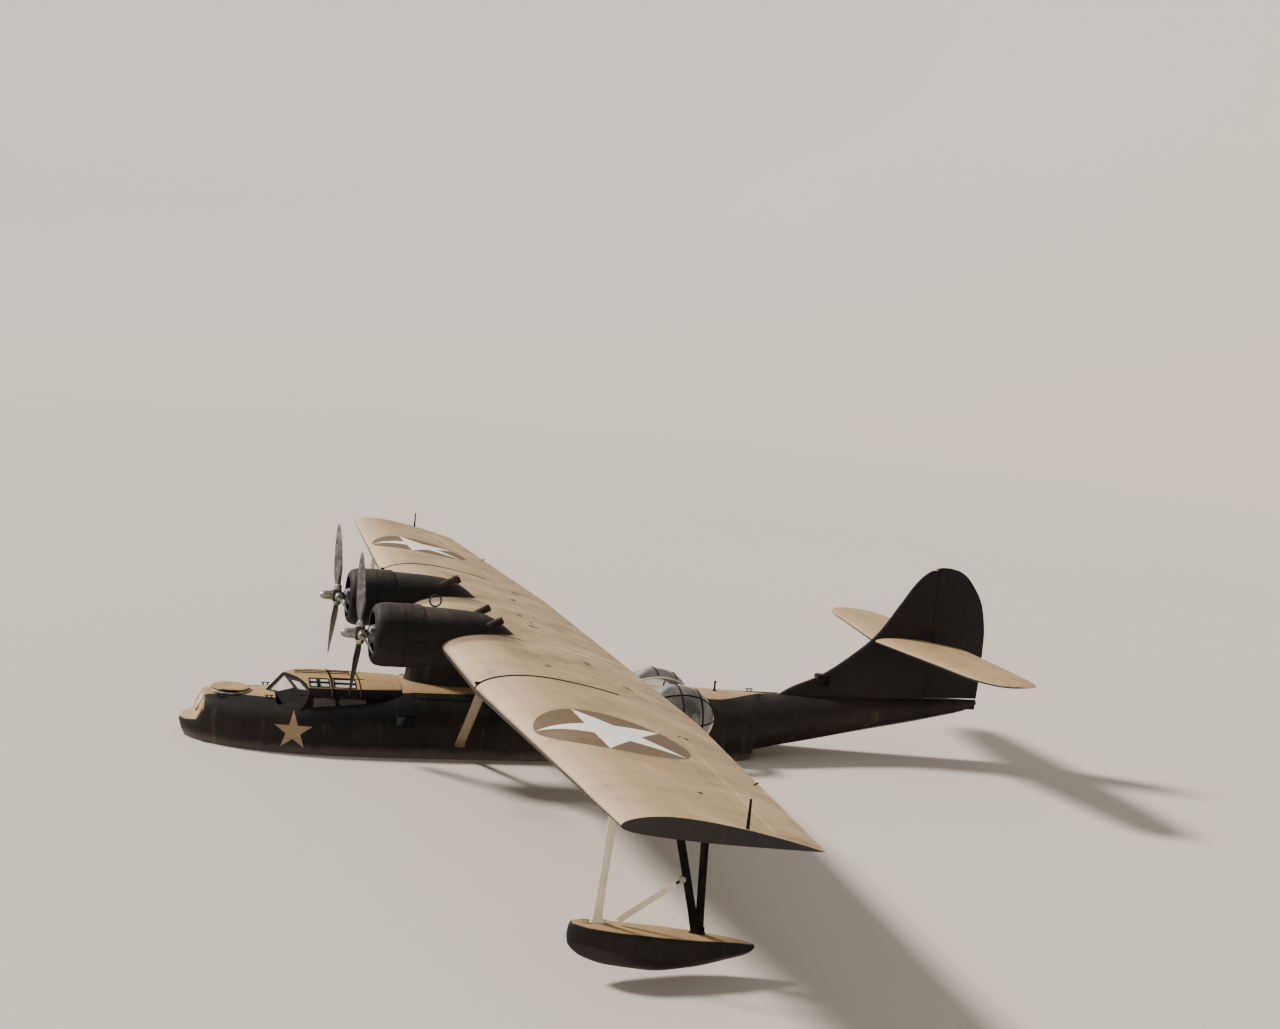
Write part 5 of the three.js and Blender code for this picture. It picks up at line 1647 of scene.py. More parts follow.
class BuildCockpit(BoatStep):
    """Instrument panel, control yoke and the pilots' seats"""
    bl_idname = "boat.cockpit"
    bl_label = "Cockpit"

    def build(self, detail):
        panel = Shape()
        panel.add(block((2.36, 0, 1.91), (.04, 1.78, .4), .008))
        panel.add(bar((2.35, -.89, 2.115), (2.35, .89, 2.115), .15, .03, (1, 0, 0), 16))
        for y in np.linspace(-.72, .72, 9):
            for z in (1.82, 1.99):
                panel.add(turned([(2.38, 0), (2.38, .05), (2.392, .05), (2.395, .044), (2.39, .042), (2.39, 0)],
                                 (0, y, z), "x", 28), 1)
        piece("cockpit_panel", panel, "hull", ["instrument_black", "dial_face"], "instrument_black",
              ["instrument_panel"])
        yoke = Shape()
        path = [(2.56, -.8, 1.26), (2.56, -.8, 1.8), (2.56, -.77, 1.87), (2.56, -.7, 1.9), (2.56, .7, 1.9),
                (2.56, .77, 1.87), (2.56, .8, 1.8), (2.56, .8, 1.26)]
        yoke.add(tube(path, .03, 14))
        for y in (-.45, .45):
            yoke.add(hoop((2.62, y, 1.9), .15, .014, 40, 12), 1)
            for turn in (0, 2.1, 4.2):
                way = np.array((0, math.cos(turn), math.sin(turn)))
                yoke.add(bar(np.array((2.6, y, 1.9)), np.array((2.62, y, 1.9)) + way * .145, .03, .012,
                             (0, -way[2], way[1]), 10))
            yoke.add(turned([(2.54, 0), (2.54, .035), (2.63, .035), (2.64, .02), (2.64, 0)], (0, y, 1.9), "x", 20))
        piece("cockpit_yoke", yoke, "hull", ["bare_metal", "instrument_black"], "bare_metal", ["control_yoke"])
        for name, side in SIDES:
            self.seat(name, side)

    @staticmethod
    def seat(name, side):
        y, floor = side * .45, COCKPIT["floor"]
        seat = Shape()
        seat.add(block((3.01, y, floor + .35), (.46, .5, .05), .014))
        lean = Matrix.Rotation(math.radians(7), 4, "Y")
        seat.add(block((3.27, y, floor + .68), (.04, .5, .64), .014, lean))
        for s in (-1, 1):
            seat.add(block((3.05, y + s * .25, floor + .46), (.4, .03, .18), .01))
            for dx in (-.17, .17):
                seat.add(tube([(3 + dx, y + s * .17, floor + .001), (3 + dx, y + s * .16, floor + .34)], .018, 10))
        piece(f"seat_frame_{name}", seat, "hull", ["cabin_paint"], "bare_metal", [f"pilot_seat_{name}"])
        pad = Shape()
        for centre, size, turn in (((3.0, y, floor + .4), (.42, .44, .07), None),
                                   ((3.225, y, floor + .7), (.07, .44, .52), lean)):
            pad.add(cushion(centre, size, turn))
        thing = piece(f"seat_pad_{name}", pad, "hull", ["leather"], "seat_leather")


def cushion(centre, size, turn=None):
    """Closed crowned pad with drawn-in sides and one seam round it."""
    thin = int(np.argmin(size))
    a, b = [k for k in range(3) if k != thin]
    rings = []
    for share, lift in ((.9, -1), (1, -.35), (1.02, 0), (1, .35), (.9, 1)):
        flat = rounded(size[a] * share, size[b] * share, .06 * share, 8)
        edge = np.maximum(abs(flat[:, 0]) / (size[a] / 2), abs(flat[:, 1]) / (size[b] / 2))
        ring = np.zeros((len(flat), 3))
        ring[:, a], ring[:, b] = flat[:, 0], flat[:, 1]
        ring[:, thin] = lift * size[thin] * (.36 - .08 * (edge - .8))
        rings.append(ring)
    crown = []
    for lift in (-1, 1):
        rows = []
        for share in (.75, .5, .25, .02):
            flat = rounded(size[a] * share, size[b] * share, .05 * share, 8)
            ring = np.zeros((len(flat), 3))
            ring[:, a], ring[:, b] = flat[:, 0], flat[:, 1]
            ring[:, thin] = lift * size[thin] * (.5 - .12 * share * share)
            rows.append(ring)
        crown.append(rows)
    points, faces = skin(crown[0][::-1] + rings + crown[1])
    if turn is not None:
        points = points @ np.array(turn.to_3x3()).T
    return points + centre, faces


def on_blister(along, turns):
    """Points of the blister's ball at a share of its half length, for turns about it in degrees."""
    long, wide, high = BLISTER["radii"]
    size, turns = math.sqrt(1 - along * along), np.radians(turns)
    ring = [np.full(len(turns), along * long), size * wide * np.cos(turns), size * high * np.sin(turns)]
    return np.array(BLISTER["centre"]) + np.column_stack(ring)


class BuildBlisters(BoatStep):
    """Clear waist blisters with their frames and sills"""
    bl_idname = "boat.blisters"
    bl_label = "Waist blisters"

    def build(self, detail):
        for name, side in SIDES:
            self.blister(name, side)

    @staticmethod
    def blister(name, side):
        radii = np.array(BLISTER["radii"])
        outer = clipped(blister_ball(radii), ((0, .32, 0), (0, -1, 0)))
        inner = clipped(blister_ball(radii - .012), ((0, .3, 0), (0, -1, 0)))
        glass = new_object(f"blister_glass_{name}", shape_of(outer).mesh("blister"), ["canopy_glass"])
        carve(glass, [inner, BuildHull.skin()])
        glass.data.transform(Matrix.Diagonal((1, side, 1, 1)))
        tidy_mesh(glass.data)
        settle(glass, "hull", "glazing", [f"blister_{name}"])
        frames = Shape()
        centre = np.array(BLISTER["centre"])
        for along in (-.62, -.06, .5):
            hoop_at = on_blister(along, np.linspace(-62, 118, 40))
            path = [p for p in hoop_at if p[1] > .2 and p[2] > hull_cover(p) - .03]
            if len(path) > 3:
                frames.add(tube(path, .02, 10))
        for turn in (-2, 55):
            path = [on_blister(along, [turn])[0] for along in np.linspace(-.97, .97, 50)]
            frames.add(tube([p for p in path if p[2] > hull_cover(p) - .02], .018, 10))
        upper, lower = [], []
        for along in np.linspace(-.96, .96, 60):
            ring = on_blister(along, np.linspace(-75, 125, 200))
            free = [q for q in ring if q[2] > hull_cover(q) and q[1] > .3]
            if free:
                lower.append(free[0])
                upper.append(free[-1])
        frames.add(tube(upper + lower[::-1] + upper[:1], .018, 10), 1)
        frames.add(tube([centre + (.2, -.55, .45), centre + (.27, -.5, .5), centre + (.34, -.55, .45)], .012, 8), 1)
        frames.points = [p * (1, side, 1) for p in frames.points]
        piece(f"blister_frame_{name}", frames, "hull", ["dark_paint", "leg_paint"], "hull_paint")


class BuildWing(BoatStep):
    """Centre wing, outer wings with their recesses, straps and filler caps"""
    bl_idname = "boat.wing"
    bl_label = "Wing"

    def build(self, detail):
        piece("wing_skin_centre", shape_of(wing_skin(-HALF_CENTRE, HALF_CENTRE, whole_section, 30)), "hull",
              ["wing_paint"], "wing_paint", ["wing_centre"])
        for name, side in SIDES:
            self.outer(name, side)
        self.fittings()
        self.rivets(detail)

    def outer(self, name, side):
        a, b = AILERON["inner"], AILERON["outer"]
        inner = wing_skin(HALF_CENTRE + .0006, a + .001, whole_section, 10)
        tip = wing_skin(b - .001, HALF_FIXED, whole_section, 4)
        hinge = {"hinge": AILERON["hinge"], "lift": AILERON["lift"]}
        middle = new_object("wing_middle", shape_of(wing_skin(a, b, fixed_section, 16, **hinge)).mesh("middle"),
                            ["wing_paint"])
        tip_piece = new_object("wing_tip", shape_of(tip).mesh("tip"), ["wing_paint"])
        for part in (middle, tip_piece):
            carve(part, self.recess(), look="cabin_paint")
        inner_piece = new_object(f"wing_skin_{name}", shape_of(inner).mesh("inner"), ["wing_paint", "cabin_paint"])
        whole = joined(inner_piece, middle, tip_piece)
        whole.data.transform(Matrix.Diagonal((1, side, 1, 1)))
        tidy_mesh(whole.data)
        settle(whole, "hull", "wing_paint", [f"wing_outer_{name}"])

    @staticmethod
    def recess():
        parts = []
        for top, foot, chord in FLOAT_MEMBERS:
            a, b = np.array((top[0], -top[1])), np.array((foot[0], -foot[1]))
            along = (b - a) / np.linalg.norm(b - a)
            side = np.array((-along[1], along[0])) * (chord / 2 + .012)
            a, b = a - .012 * along, b + .3 * along
            outline = [a - side, b - side, b + side, a + side]
            points, faces = prism(outline, "z", -.6, LEG["thick"] / 2 + .01)
            parts.append((from_hinge(points), faces))
        half = LEG["barrel"] / 2 + .001
        for x in FLOAT_BARRELS:
            points, faces = prism([(x - half, -.052), (x + half, -.052), (x + half, .052), (x - half, .052)], "z",
                                  -.6, .052)
            parts.append((from_hinge(points), faces))
        return parts

    @staticmethod
    def fittings():
        lines = []
        for side in (-1, 1):
            y = side * HALF_CENTRE
            share = np.linspace(0, 1, 40) ** 1.6 * .62
            lines.append(([wing_top(y, s, .004) for s in share], (0, 0, 1)))
        tapes("wing_joint_straps", lines, "hull", "dark_paint", "wing_paint", .085, .008)
        caps = Shape()
        for y, share in ((3.6, .64), (-.33, .54), (-3.6, .64), (.9, .54), (-5.2, .36), (5.2, .36)):
            at = wing_top(y, share)
            caps.add(turned([(0, 0), (-.01, .085), (.006, .085), (.012, .075), (.012, 0)], at, "z", 28))
            caps.add(bar(at + (-.05, 0, .014), at + (.05, 0, .014), .012, .018, (0, 1, 0), 8))
        for y, x, long, wide in WING_MARKS:
            front, _, chord, _ = wing_row(y)
            share = (x - front) / (chord * math.cos(INCIDENCE))
            for side in (-1, 1):
                a, b = (wing_top(side * y, share + d * long / chord / 2, .002) for d in (-1, 1))
                caps.add(bar(a, b, wide, .012, (0, 1, 0), 16), 1)
        for side in (-1, 1):
            caps.add(block(wing_top(side * HALF_CENTRE, .012, .012), (.14, .07, .05), .008), 1)
            caps.add(bar(wing_top(side * 11.48, .955, 0), wing_top(side * 11.48, .975, .07), .03, .012, (1, 0, 0),
                         8), 1)
        piece("wing_filler_caps", caps, "hull", ["strut_paint", "dark_paint"], "bare_metal")

    @staticmethod
    def rivets(detail):
        lines = []
        for side in (-1, 1):
            for share in (.095, .34, .645):
                lines.append(([wing_top(side * y, share, 0) for y in np.linspace(.2, 15.0, 60)], (0, 0, 1)))
            for y in (1.2, 3.1, 4.3, 5.4, 7.74, 9.03, 10.32, 11.61, 12.9, 14.2):
                lines.append(([wing_top(side * y, s, 0) for s in np.linspace(.02, .64, 30)], (0, 0, 1)))
        studs("wing_rivets", lines, "hull", "wing_paint", "wing_paint", detail.rivet_pitch, detail.rivet_radius)


def joined(first, *others):
    """One object from several that share its list of finishes."""
    work = bmesh.new()
    work.from_mesh(first.data)
    names = [m.name for m in first.data.materials]
    for other in others:
        order = [names.index(m.name) for m in other.data.materials]
        index = np.zeros(len(other.data.polygons), int)
        other.data.polygons.foreach_get("material_index", index)
        other.data.polygons.foreach_set("material_index", [order[i] for i in index])
        work.from_mesh(other.data)
        bpy.data.objects.remove(other)
    work.to_mesh(first.data)
    work.free()
    return first


class BuildAilerons(BoatStep):
    """Skins of the ailerons"""
    bl_idname = "boat.ailerons"
    bl_label = "Ailerons"

    def build(self, detail):
        a, b = AILERON["inner"] + .018, AILERON["outer"] - .018
        hinge = {"hinge": AILERON["hinge"], "lift": AILERON["lift"]}
        for name, side in SIDES:
            shape = Shape()
            shape.add(wing_skin(a, b, flap_section, 24, **hinge), side=side)
            piece(f"aileron_skin_{name}", shape, f"aileron_{name}", ["wing_paint"], "wing_paint", [f"aileron_{name}"])


PYLON_WINDOW = (6.1, .47, 3.25)


def flare(share):
    """Size of a strut's end fairing along it."""
    return 1.3 - .3 * math.sin(share * np.pi / 2)


class BuildPylon(BoatStep):
    """Pylon under the wing with its windows, and the wing struts"""
    bl_idname = "boat.pylon"
    bl_label = "Pylon and struts"

    def build(self, detail):
        rings = []
        for z, front, rear, thick in table_at(PYLON, places(2.25, 4.05, 22)):
            chord = rear - front
            section = whole_section(chord, thick / chord)
            rings.append(np.column_stack([front + section[:, 0], section[:, 1], np.full(len(section), z)]))
        points, faces = skin(rings)
        roof = 3.95 - (points[:, 0] - 5.09) * math.tan(INCIDENCE) - .03 * (points[:, 2] - 3.3).clip(0)
        points[:, 2] = np.minimum(points[:, 2], roof)
        piece("pylon_skin", shape_of((points, faces)), "hull", ["pylon_paint"], "hull_paint", ["pylon"])
        for name, side in SIDES:
            windows = Shape()
            x, y, z = PYLON_WINDOW
            pane, rim = rounded(.42, .3, .06) + (x, z), rounded(.5, .38, .09) + (x, z)
            windows.add(prism(pane, "y", y - .1, y + .012), 1, side)
            rings = [np.column_stack([flat[:, 0], np.full(len(flat), at), flat[:, 1]])
                     for flat, at in ((pane, y - .05), (pane, y + .02), (rim, y + .02), (rim, y - .05))]
            windows.add(skin(rings, closed=True), 0, side)
            piece(f"pylon_window_{name}", windows, "hull", ["pylon_paint", "dark_glass"], "glazing")
            for key, (foot, head, chord) in STRUTS.items():
                strut = Shape()
                a, b = np.array(foot), np.array(head)
                way = (b - a) / np.linalg.norm(b - a)
                strut.add(bar(a - way * .12, b + way * .22, chord, .085, (1, 0, 0), 28, 12), 0, side)
                strut.add(bar(a - way * .1, a + way * .26, chord, .085, (1, 0, 0), 28, 10, flare), 0, side)
                strut.add(bar(b + way * .2, b - way * .24, chord, .085, (1, 0, 0), 28, 10, flare), 0, side)
                piece(f"strut_{key}_{name}", strut, "hull", ["strut_paint"], "strut_paint",
                      [f"wing_strut_{key}_{name}"])


class BuildNacelles(BoatStep):
    """Nacelles with their exhaust stacks, and the cowlings"""
    bl_idname = "boat.nacelles"
    bl_label = "Nacelles and cowlings"

    def build(self, detail):
        for name, side in SIDES:
            at = (0, side * ENGINE_Y, THRUST_Z)
            c, s = circle(72)
            rings = [np.column_stack([np.full(72, x), wide * c, rise + high * s]) + at
                     for x, rise, wide, high in table_at(NACELLE, places(4.6, 6.85, 44))]
            body = new_object(f"nacelle_skin_{name}", shape_of(skin(rings)).mesh("nacelle"), ["nacelle_paint"])
            low = block(np.add(at, (6.8, 0, -.9)), (2.4, 2, 1.2), .02)
            carve(body, [low])
            settle(body, "hull", "hull_paint", [f"nacelle_{name}"])
            extras = Shape()
            for root, end in STACKS:
                self.stack(extras, *(np.array(p) * (1, side, 1) + at for p in (root, end)))
            piece(f"exhaust_stacks_{name}", extras, "hull", ["exhaust_metal"], "engine_metal")
            self.cowl(name, at, detail)

    @staticmethod
    def stack(extras, root, end):
        """Short flattened pipe with a rolled, open end and a clamp band."""
        along = (end - root) / np.linalg.norm(end - root)
        over = np.cross(along, (0, 1, 0))
        over /= np.linalg.norm(over)
        other = np.cross(over, along)
        c, s = circle(24)

        def ring(t, r):
            return root + along * t + np.outer(r * c, over) * 1.04 + np.outer(r * s, other) * .94

        reach = np.linalg.norm(end - root)
        profile = [(0, .06), (.12, .072), (.2, .076), (reach - .14, .076), (reach - .135, .081), (reach - .105, .081),
                   (reach - .1, .076), (reach - .012, .079), (reach, .075), (reach - .004, .068), (reach - .2, .064)]
        extras.add(skin([ring(t, r) for t, r in profile]))

    @staticmethod
    def cowl(name, at, detail):
        front, rear, radius, mouth = (COWL[k] for k in ("front", "rear", "radius", "mouth"))
        profile = [(rear - .2, radius - .006), (rear - .2, radius - .02), (front + .3, radius - .03),
                   (front + .14, radius - .05), (front + .06, mouth + .035), (front + .03, mouth + .008),
                   (front + .012, mouth), (front + .003, mouth + .012), (front, mouth + .035),
                   (front + .006, mouth + .07), (front + .03, radius - .09), (front + .06, radius - .058),
                   (front + .11, radius - .03), (front + .19, radius - .01), (front + .3, radius),
                   (rear - .25, radius)]
        cowl = Shape()
        cowl.add(turned(profile, at, "x", 96, closed=True))
        for x in (front + .3, front + .62):
            cowl.add(turned([(x - .012, radius - .004), (x - .01, radius), (x + .01, radius),
                             (x + .012, radius - .004)], at, "x", 96, closed=True))
        count = detail.flap_count
        for k in range(count):
            turns = np.linspace((k + .03) * 2 * np.pi / count, (k + .97) * 2 * np.pi / count, 7)
            x0, x1 = rear - .205, rear - .002
            strip = []
            for x, r in ((x0, radius - .004), ((x0 + x1) / 2, radius - .001), (x1, radius - .009)):
                out, back = (np.column_stack([np.full(7, x), reach * np.cos(turns), reach * np.sin(turns)]) + at
                             for reach in (r, r - .006))
                strip.append(np.concatenate([out, back[::-1]]))
            cowl.add(skin(strip), 0)
        piece(f"cowl_{name}", cowl, "hull", ["nacelle_paint", "bare_metal"], "hull_paint", [f"cowling_{name}"])
        lines = [ring_line(np.add(at, (x, 0, 0)), radius + .001, "x", 72, "radial")
                 for x in (front + .33, front + .65, rear - .235)]
        studs(f"cowl_fasteners_{name}", lines, "hull", "nacelle_paint", "hull_paint", .09, .007)


def curve(points, count=24):
    """Smooth path through a few points."""
    points = np.asarray(points, float)
    at = np.linspace(0, len(points) - 1, count)
    return np.column_stack([through(np.arange(len(points)), c, at) for c in points.T])


class BuildEngines(BoatStep):
    """Two-row radial engines: cases, finned cylinders, rods and leads"""
    bl_idname = "boat.engines"
    bl_label = "Engines"

    def build(self, detail):
        for name, side in SIDES:
            self.engine(name, np.array((0, side * ENGINE_Y, THRUST_Z)), detail)

    @staticmethod
    def engine(name, at, detail):
        nose = NOSE_CASE_X
        case = Shape()
        case.add(turned([(nose, 0), (nose, .088), (nose + .012, .098), (nose + .03, .112), (nose + .06, .148),
                         (nose + .1, .185), (nose + .16, .205), (nose + .2, .222), (nose + .205, .245),
                         (nose + .225, .245), (nose + .23, .23), (nose + .29, .262), (nose + .31, .268),
                         (FIREWALL_X, .268), (FIREWALL_X, 0)], at, "x", 64))
        plain = Shape()
        fins, heads = [], []
        for row in (0, 1):
            x = nose + .41 + .23 * row
            for k in range(7):
                turn = 2 * np.pi * (k + row / 2) / 7
                out = np.array((0, math.sin(turn), math.cos(turn)))
                across = np.array((0, out[2], -out[1]))
                base = at + (x, 0, 0)
                plain.add(tube([base + out * r for r in (.2, .26, .265, .3, .5)], [.1, .1, .088, .075, .075], 20))
                plain.add(tube([base + out * r for r in (.5, .52, .58, .61, .615)], [.086, .094, .094, .07, .02], 20))
                fins.append(([base + out * r for r in (.285, .475)], out))
                heads.append(([base + out * r for r in (.492, .598)], out))
                for s in (-1, 1):
                    box_at = base + out * .575 + across * s * .07 + (-.035, 0, 0)
                    turn_to = Matrix((Vector((1, 0, 0)), Vector(across), Vector(out))).transposed().to_4x4()
                    case.add(block(box_at, (.1, .05, .07), .012, turn_to), 1)
                    foot = at + (nose + .19 if row == 0 else nose + .26, 0, 0) + out * .2 + across * s * .045
                    case.add(tube([foot, box_at + (-.03, 0, 0)], .011, 8), 1)
                    plug = base + out * .555 + across * s * .03 + (-.085, 0, 0)
                    case.add(tube([plug, plug + (-.035, 0, 0)], [.009, .007], 8), 2)
                    lead = [plug + (-.03, 0, 0), plug + (-.07, 0, 0) - out * .06,
                            base + (-.2, 0, 0) + out * .34 + across * s * .05, at + (nose + .2, 0, 0) + out * .262]
                    case.add(tube(curve(lead, 10), .006, 6), 2)
        case.add(hoop(at + (nose + .205, 0, 0), .262, .016, 64, 10), 2)
        for turn in (math.radians(52), math.radians(-52), math.pi):
            out = np.array((0, math.sin(turn), math.cos(turn)))
            foot = at + (nose + .1, 0, 0) + out * .16
            case.add(tube([foot, foot + out * .03 + (-.005, 0, 0), foot + out * .06 + (-.01, 0, 0)],
                          [.045, .045, .03], 16), 0)
        case.add(turned([(4.35, 0), (4.35, .6), (4.37, .62), (4.4, .62), (4.4, 0)], at, "x", 72), 2)
        piece(f"engine_case_{name}", case, "hull", ["engine_case", "dark_metal", "rubber"], "engine_metal",
              [f"engine_{name}"])
        piece(f"engine_barrels_{name}", plain, "hull", ["dark_metal"], "engine_metal")
        studs(f"engine_barrel_fins_{name}", fins, "hull", "dark_metal", "engine_metal", detail.fin_pitch, .095,
              .004, .095, 20)
        studs(f"engine_head_fins_{name}", heads, "hull", "dark_metal", "engine_metal", detail.fin_pitch * .8, .122,
              .004, .116, 20)
        bolts = [ring_line(at + (nose + .204, 0, 0), .236, "x"), ring_line(at + (nose + .001, 0, 0), .08, "x", 24)]
        studs(f"engine_bolts_{name}", bolts, "hull", "bare_metal", "engine_metal", .045, .008, .016, .008)


class BuildPropellers(BoatStep):
    """Three-bladed propellers with their hubs and domes"""
    bl_idname = "boat.propellers"
    bl_label = "Propellers"

    def build(self, detail):
        for name, side in SIDES:
            at = np.array((PROP_X, side * ENGINE_Y, THRUST_Z))
            prop = Shape()
            for turn in BLADE_TURNS:
                prop.add(self.blade(at, math.radians(turn)), 0)
                c, s = math.cos(math.radians(turn)), math.sin(math.radians(turn))
                out = np.array((0, c, s))
                stations = (.06, .1, .105, .125, .13, .2, .21, .235, .24, .26)
                radii = (.088, .088, .096, .096, .088, .088, .094, .094, .08, .07)
                prop.add(tube([at + out * r for r in stations], radii, 28), 1)
            prop.add(turned([(-.43, 0), (-.428, .016), (-.42, .04), (-.4, .064), (-.37, .083), (-.33, .097),
                             (-.28, .105), (-.155, .109), (-.15, .118), (-.128, .118), (-.122, .112), (-.118, 0)],
                            at, "x", 48), 1)
            prop.add(turned([(-.125, 0), (-.122, .12), (-.105, .146), (.055, .146), (.07, .13), (.08, .086),
                             (.1195, .085), (.1195, 0)], at, "x", 48), 2)
            piece(f"propeller_blades_{name}", prop, f"propeller_{name}", ["blade_paint", "bare_metal", "dark_metal"],
                  "propeller_paint", [f"propeller_{name}"])
            bolts = [ring_line(at + (-.152, 0, 0), .1135, "x", 24)]
            studs(f"propeller_bolts_{name}", bolts, f"propeller_{name}", "bare_metal", "bare_metal", .05, .006,
                  .012, .006)

    @staticmethod
    def blade(at, turn):
        rings = []
        for r, chord, thick, pitch in table_at(BLADE, places(.11, 1.83, 46, 1.8, 1.815, 1.826)):
            twist = math.radians(pitch)
            sweep = np.linspace(0, 2 * np.pi, 32, endpoint=False)
            round_in = max(0.0, 1 - (r - .11) / .35)
            a = chord / 2 * np.cos(sweep)
            lens = thick / 2 * np.sin(sweep) * (1 - .28 * (1 - round_in) * np.cos(sweep))
            b = np.where(np.sin(sweep) < 0, lens * (round_in + .35 * (1 - round_in)),
                         lens * (round_in + (1 - round_in)))
            x = a * math.sin(twist) + b * math.cos(twist)
            y = -a * math.cos(twist) + b * math.sin(twist)
            ring = np.column_stack([-x, np.full(len(x), r), y])
            c, s = math.cos(turn), math.sin(turn)
            rings.append(np.column_stack([
                ring[:, 0], ring[:, 1] * c - ring[:, 2] * s, ring[:, 1] * s + ring[:, 2] * c]) + at)
        return skin(rings)


class BuildFloats(BoatStep):
    """Folding tip floats and their frames"""
    bl_idname = "boat.floats"
    bl_label = "Tip floats"

    def build(self, detail):
        for name, side in SIDES:
            body = f"tip_float_{name}"
            shape = Shape()
            rings = [self.section(row) for row in table_at(FLOAT, places(.25, 3.32, 70, .265, .29, 3.305))]
            for k, size in ((0, .5), (1, .8), (len(rings) - 1, .5)):
                middle = rings[k].mean(axis=0)
                rings[k] = middle + (rings[k] - middle) * size
            points, faces = skin(rings)
            shape.add((from_hinge(points), faces), 0, side)
            piece(f"float_skin_{name}", shape, body, ["float_paint"], "hull_paint", [f"float_{name}"])
            self.frame(name, side, body)

    @staticmethod
    def section(row):
        x, deck, wide, chine, keel = row
        y = np.linspace(0, wide, 9)
        low = np.column_stack([y, keel + (chine - keel) * (y / wide) ** 1.15])
        flank, share = .4 * chine + .6 * deck, FLOAT_DECK_SHARE
        wall = np.column_stack([np.full(4, wide), np.linspace(chine, flank, 5)[1:]])
        turn = np.linspace(0, np.pi / 2, 9)[1:]
        edge = np.column_stack([wide * (share + (1 - share) * np.cos(turn) ** .8),
                                deck + .008 + (flank - deck - .008) * (1 - np.sin(turn) ** .8)])
        inward = np.linspace(1, 0, 7)[1:]
        flat = np.column_stack([share * wide * inward, deck + .008 * inward ** 2])
        half = np.concatenate([low, wall, edge, flat])
        whole = np.concatenate([half, half[-2:0:-1] * (-1, 1)])
        return np.column_stack([np.full(len(whole), x), FLOAT_OFFSET + whole[:, 0], -FLOAT_DECK - whole[:, 1]])

    @staticmethod
    def frame(name, side, body):
        frame_shape = Shape()

        def slim(share):
            return .84 + .16 * abs(2 * share - 1) ** 3

        for number, (top, foot, chord) in enumerate(FLOAT_MEMBERS):
            a, b = np.array((top[0], 0, top[1])), np.array((foot[0], 0, foot[1] + .002))
            main = top[1] == 0
            # Painted light: the rear legs take the dark coat as painted shade of the wing, and the front leg and brace
            # take the bright coat as painted sunlight.
            dark = 2 if number in (1, 2) else 0
            flat = np.array((a[2] - b[2], 0, b[0] - a[0]))
            if number == 3:
                fork = a + .13 * (b - a) / np.linalg.norm(b - a)
                points, faces = bar(a, fork, chord * .4, .03, flat, 16)
                frame_shape.add((from_hinge(points), faces), 2, side)
                a = fork - .01 * (b - a) / np.linalg.norm(b - a)
            points, faces = bar(a, b, chord, LEG["thick"] if main else .034, flat, 24, 16, slim if main else None)
            frame_shape.add((from_hinge(points), faces), dark, side)
            if main:
                points, faces = bar(b + (0, 0, .11), b, chord, LEG["thick"], (1, 0, 0), 24, 8, lambda t: 1 + .5 * t * t)
                frame_shape.add((from_hinge(points), faces), dark, side)
        eye = turned([(-.024, 0), (-.024, .05), (-.018, .056), (.018, .056), (.024, .05), (.024, 0)],
                     (FLOAT_MEMBERS[3][0][0], 0, FLOAT_MEMBERS[3][0][1]), "y", 20)
        frame_shape.add((from_hinge(eye[0]), eye[1]), 1, side)
        half = LEG["barrel"] / 2
        for x in FLOAT_BARRELS:
            profile = [(-half, 0), (-half, .036), (-half + .01, .042), (-.05, .042), (-.045, .038), (.045, .038),
                       (.05, .042),
                       (half - .01, .042), (half, .036), (half, 0)]
            points, faces = turned(profile, (x, 0, 0), "x", 32)
            frame_shape.add((from_hinge(points), faces), 1, side)
        x, deck = FLOAT_MEMBERS[0][1][0] - .2, -FLOAT_DECK
        for dx in (-.03, .03):
            points, faces = turned([(deck - .02, .01), (deck + .035, .01), (deck + .04, 0), (deck - .02, 0)],
                                   (x + dx, FLOAT_OFFSET, 0), "z", 12)
            frame_shape.add((from_hinge(points), faces), 1, side)
        horn = [(x + dx, FLOAT_OFFSET, deck + .04) for dx in (-.08, -.03, .03, .08)]
        points, faces = tube(horn, [.006, .01, .01, .006], 10)
        frame_shape.add((from_hinge(points), faces), 1, side)
        piece(f"float_legs_{name}", frame_shape, body, ["leg_paint", "bare_metal", "dark_paint"], "strut_paint",
              [f"float_frame_{name}"])


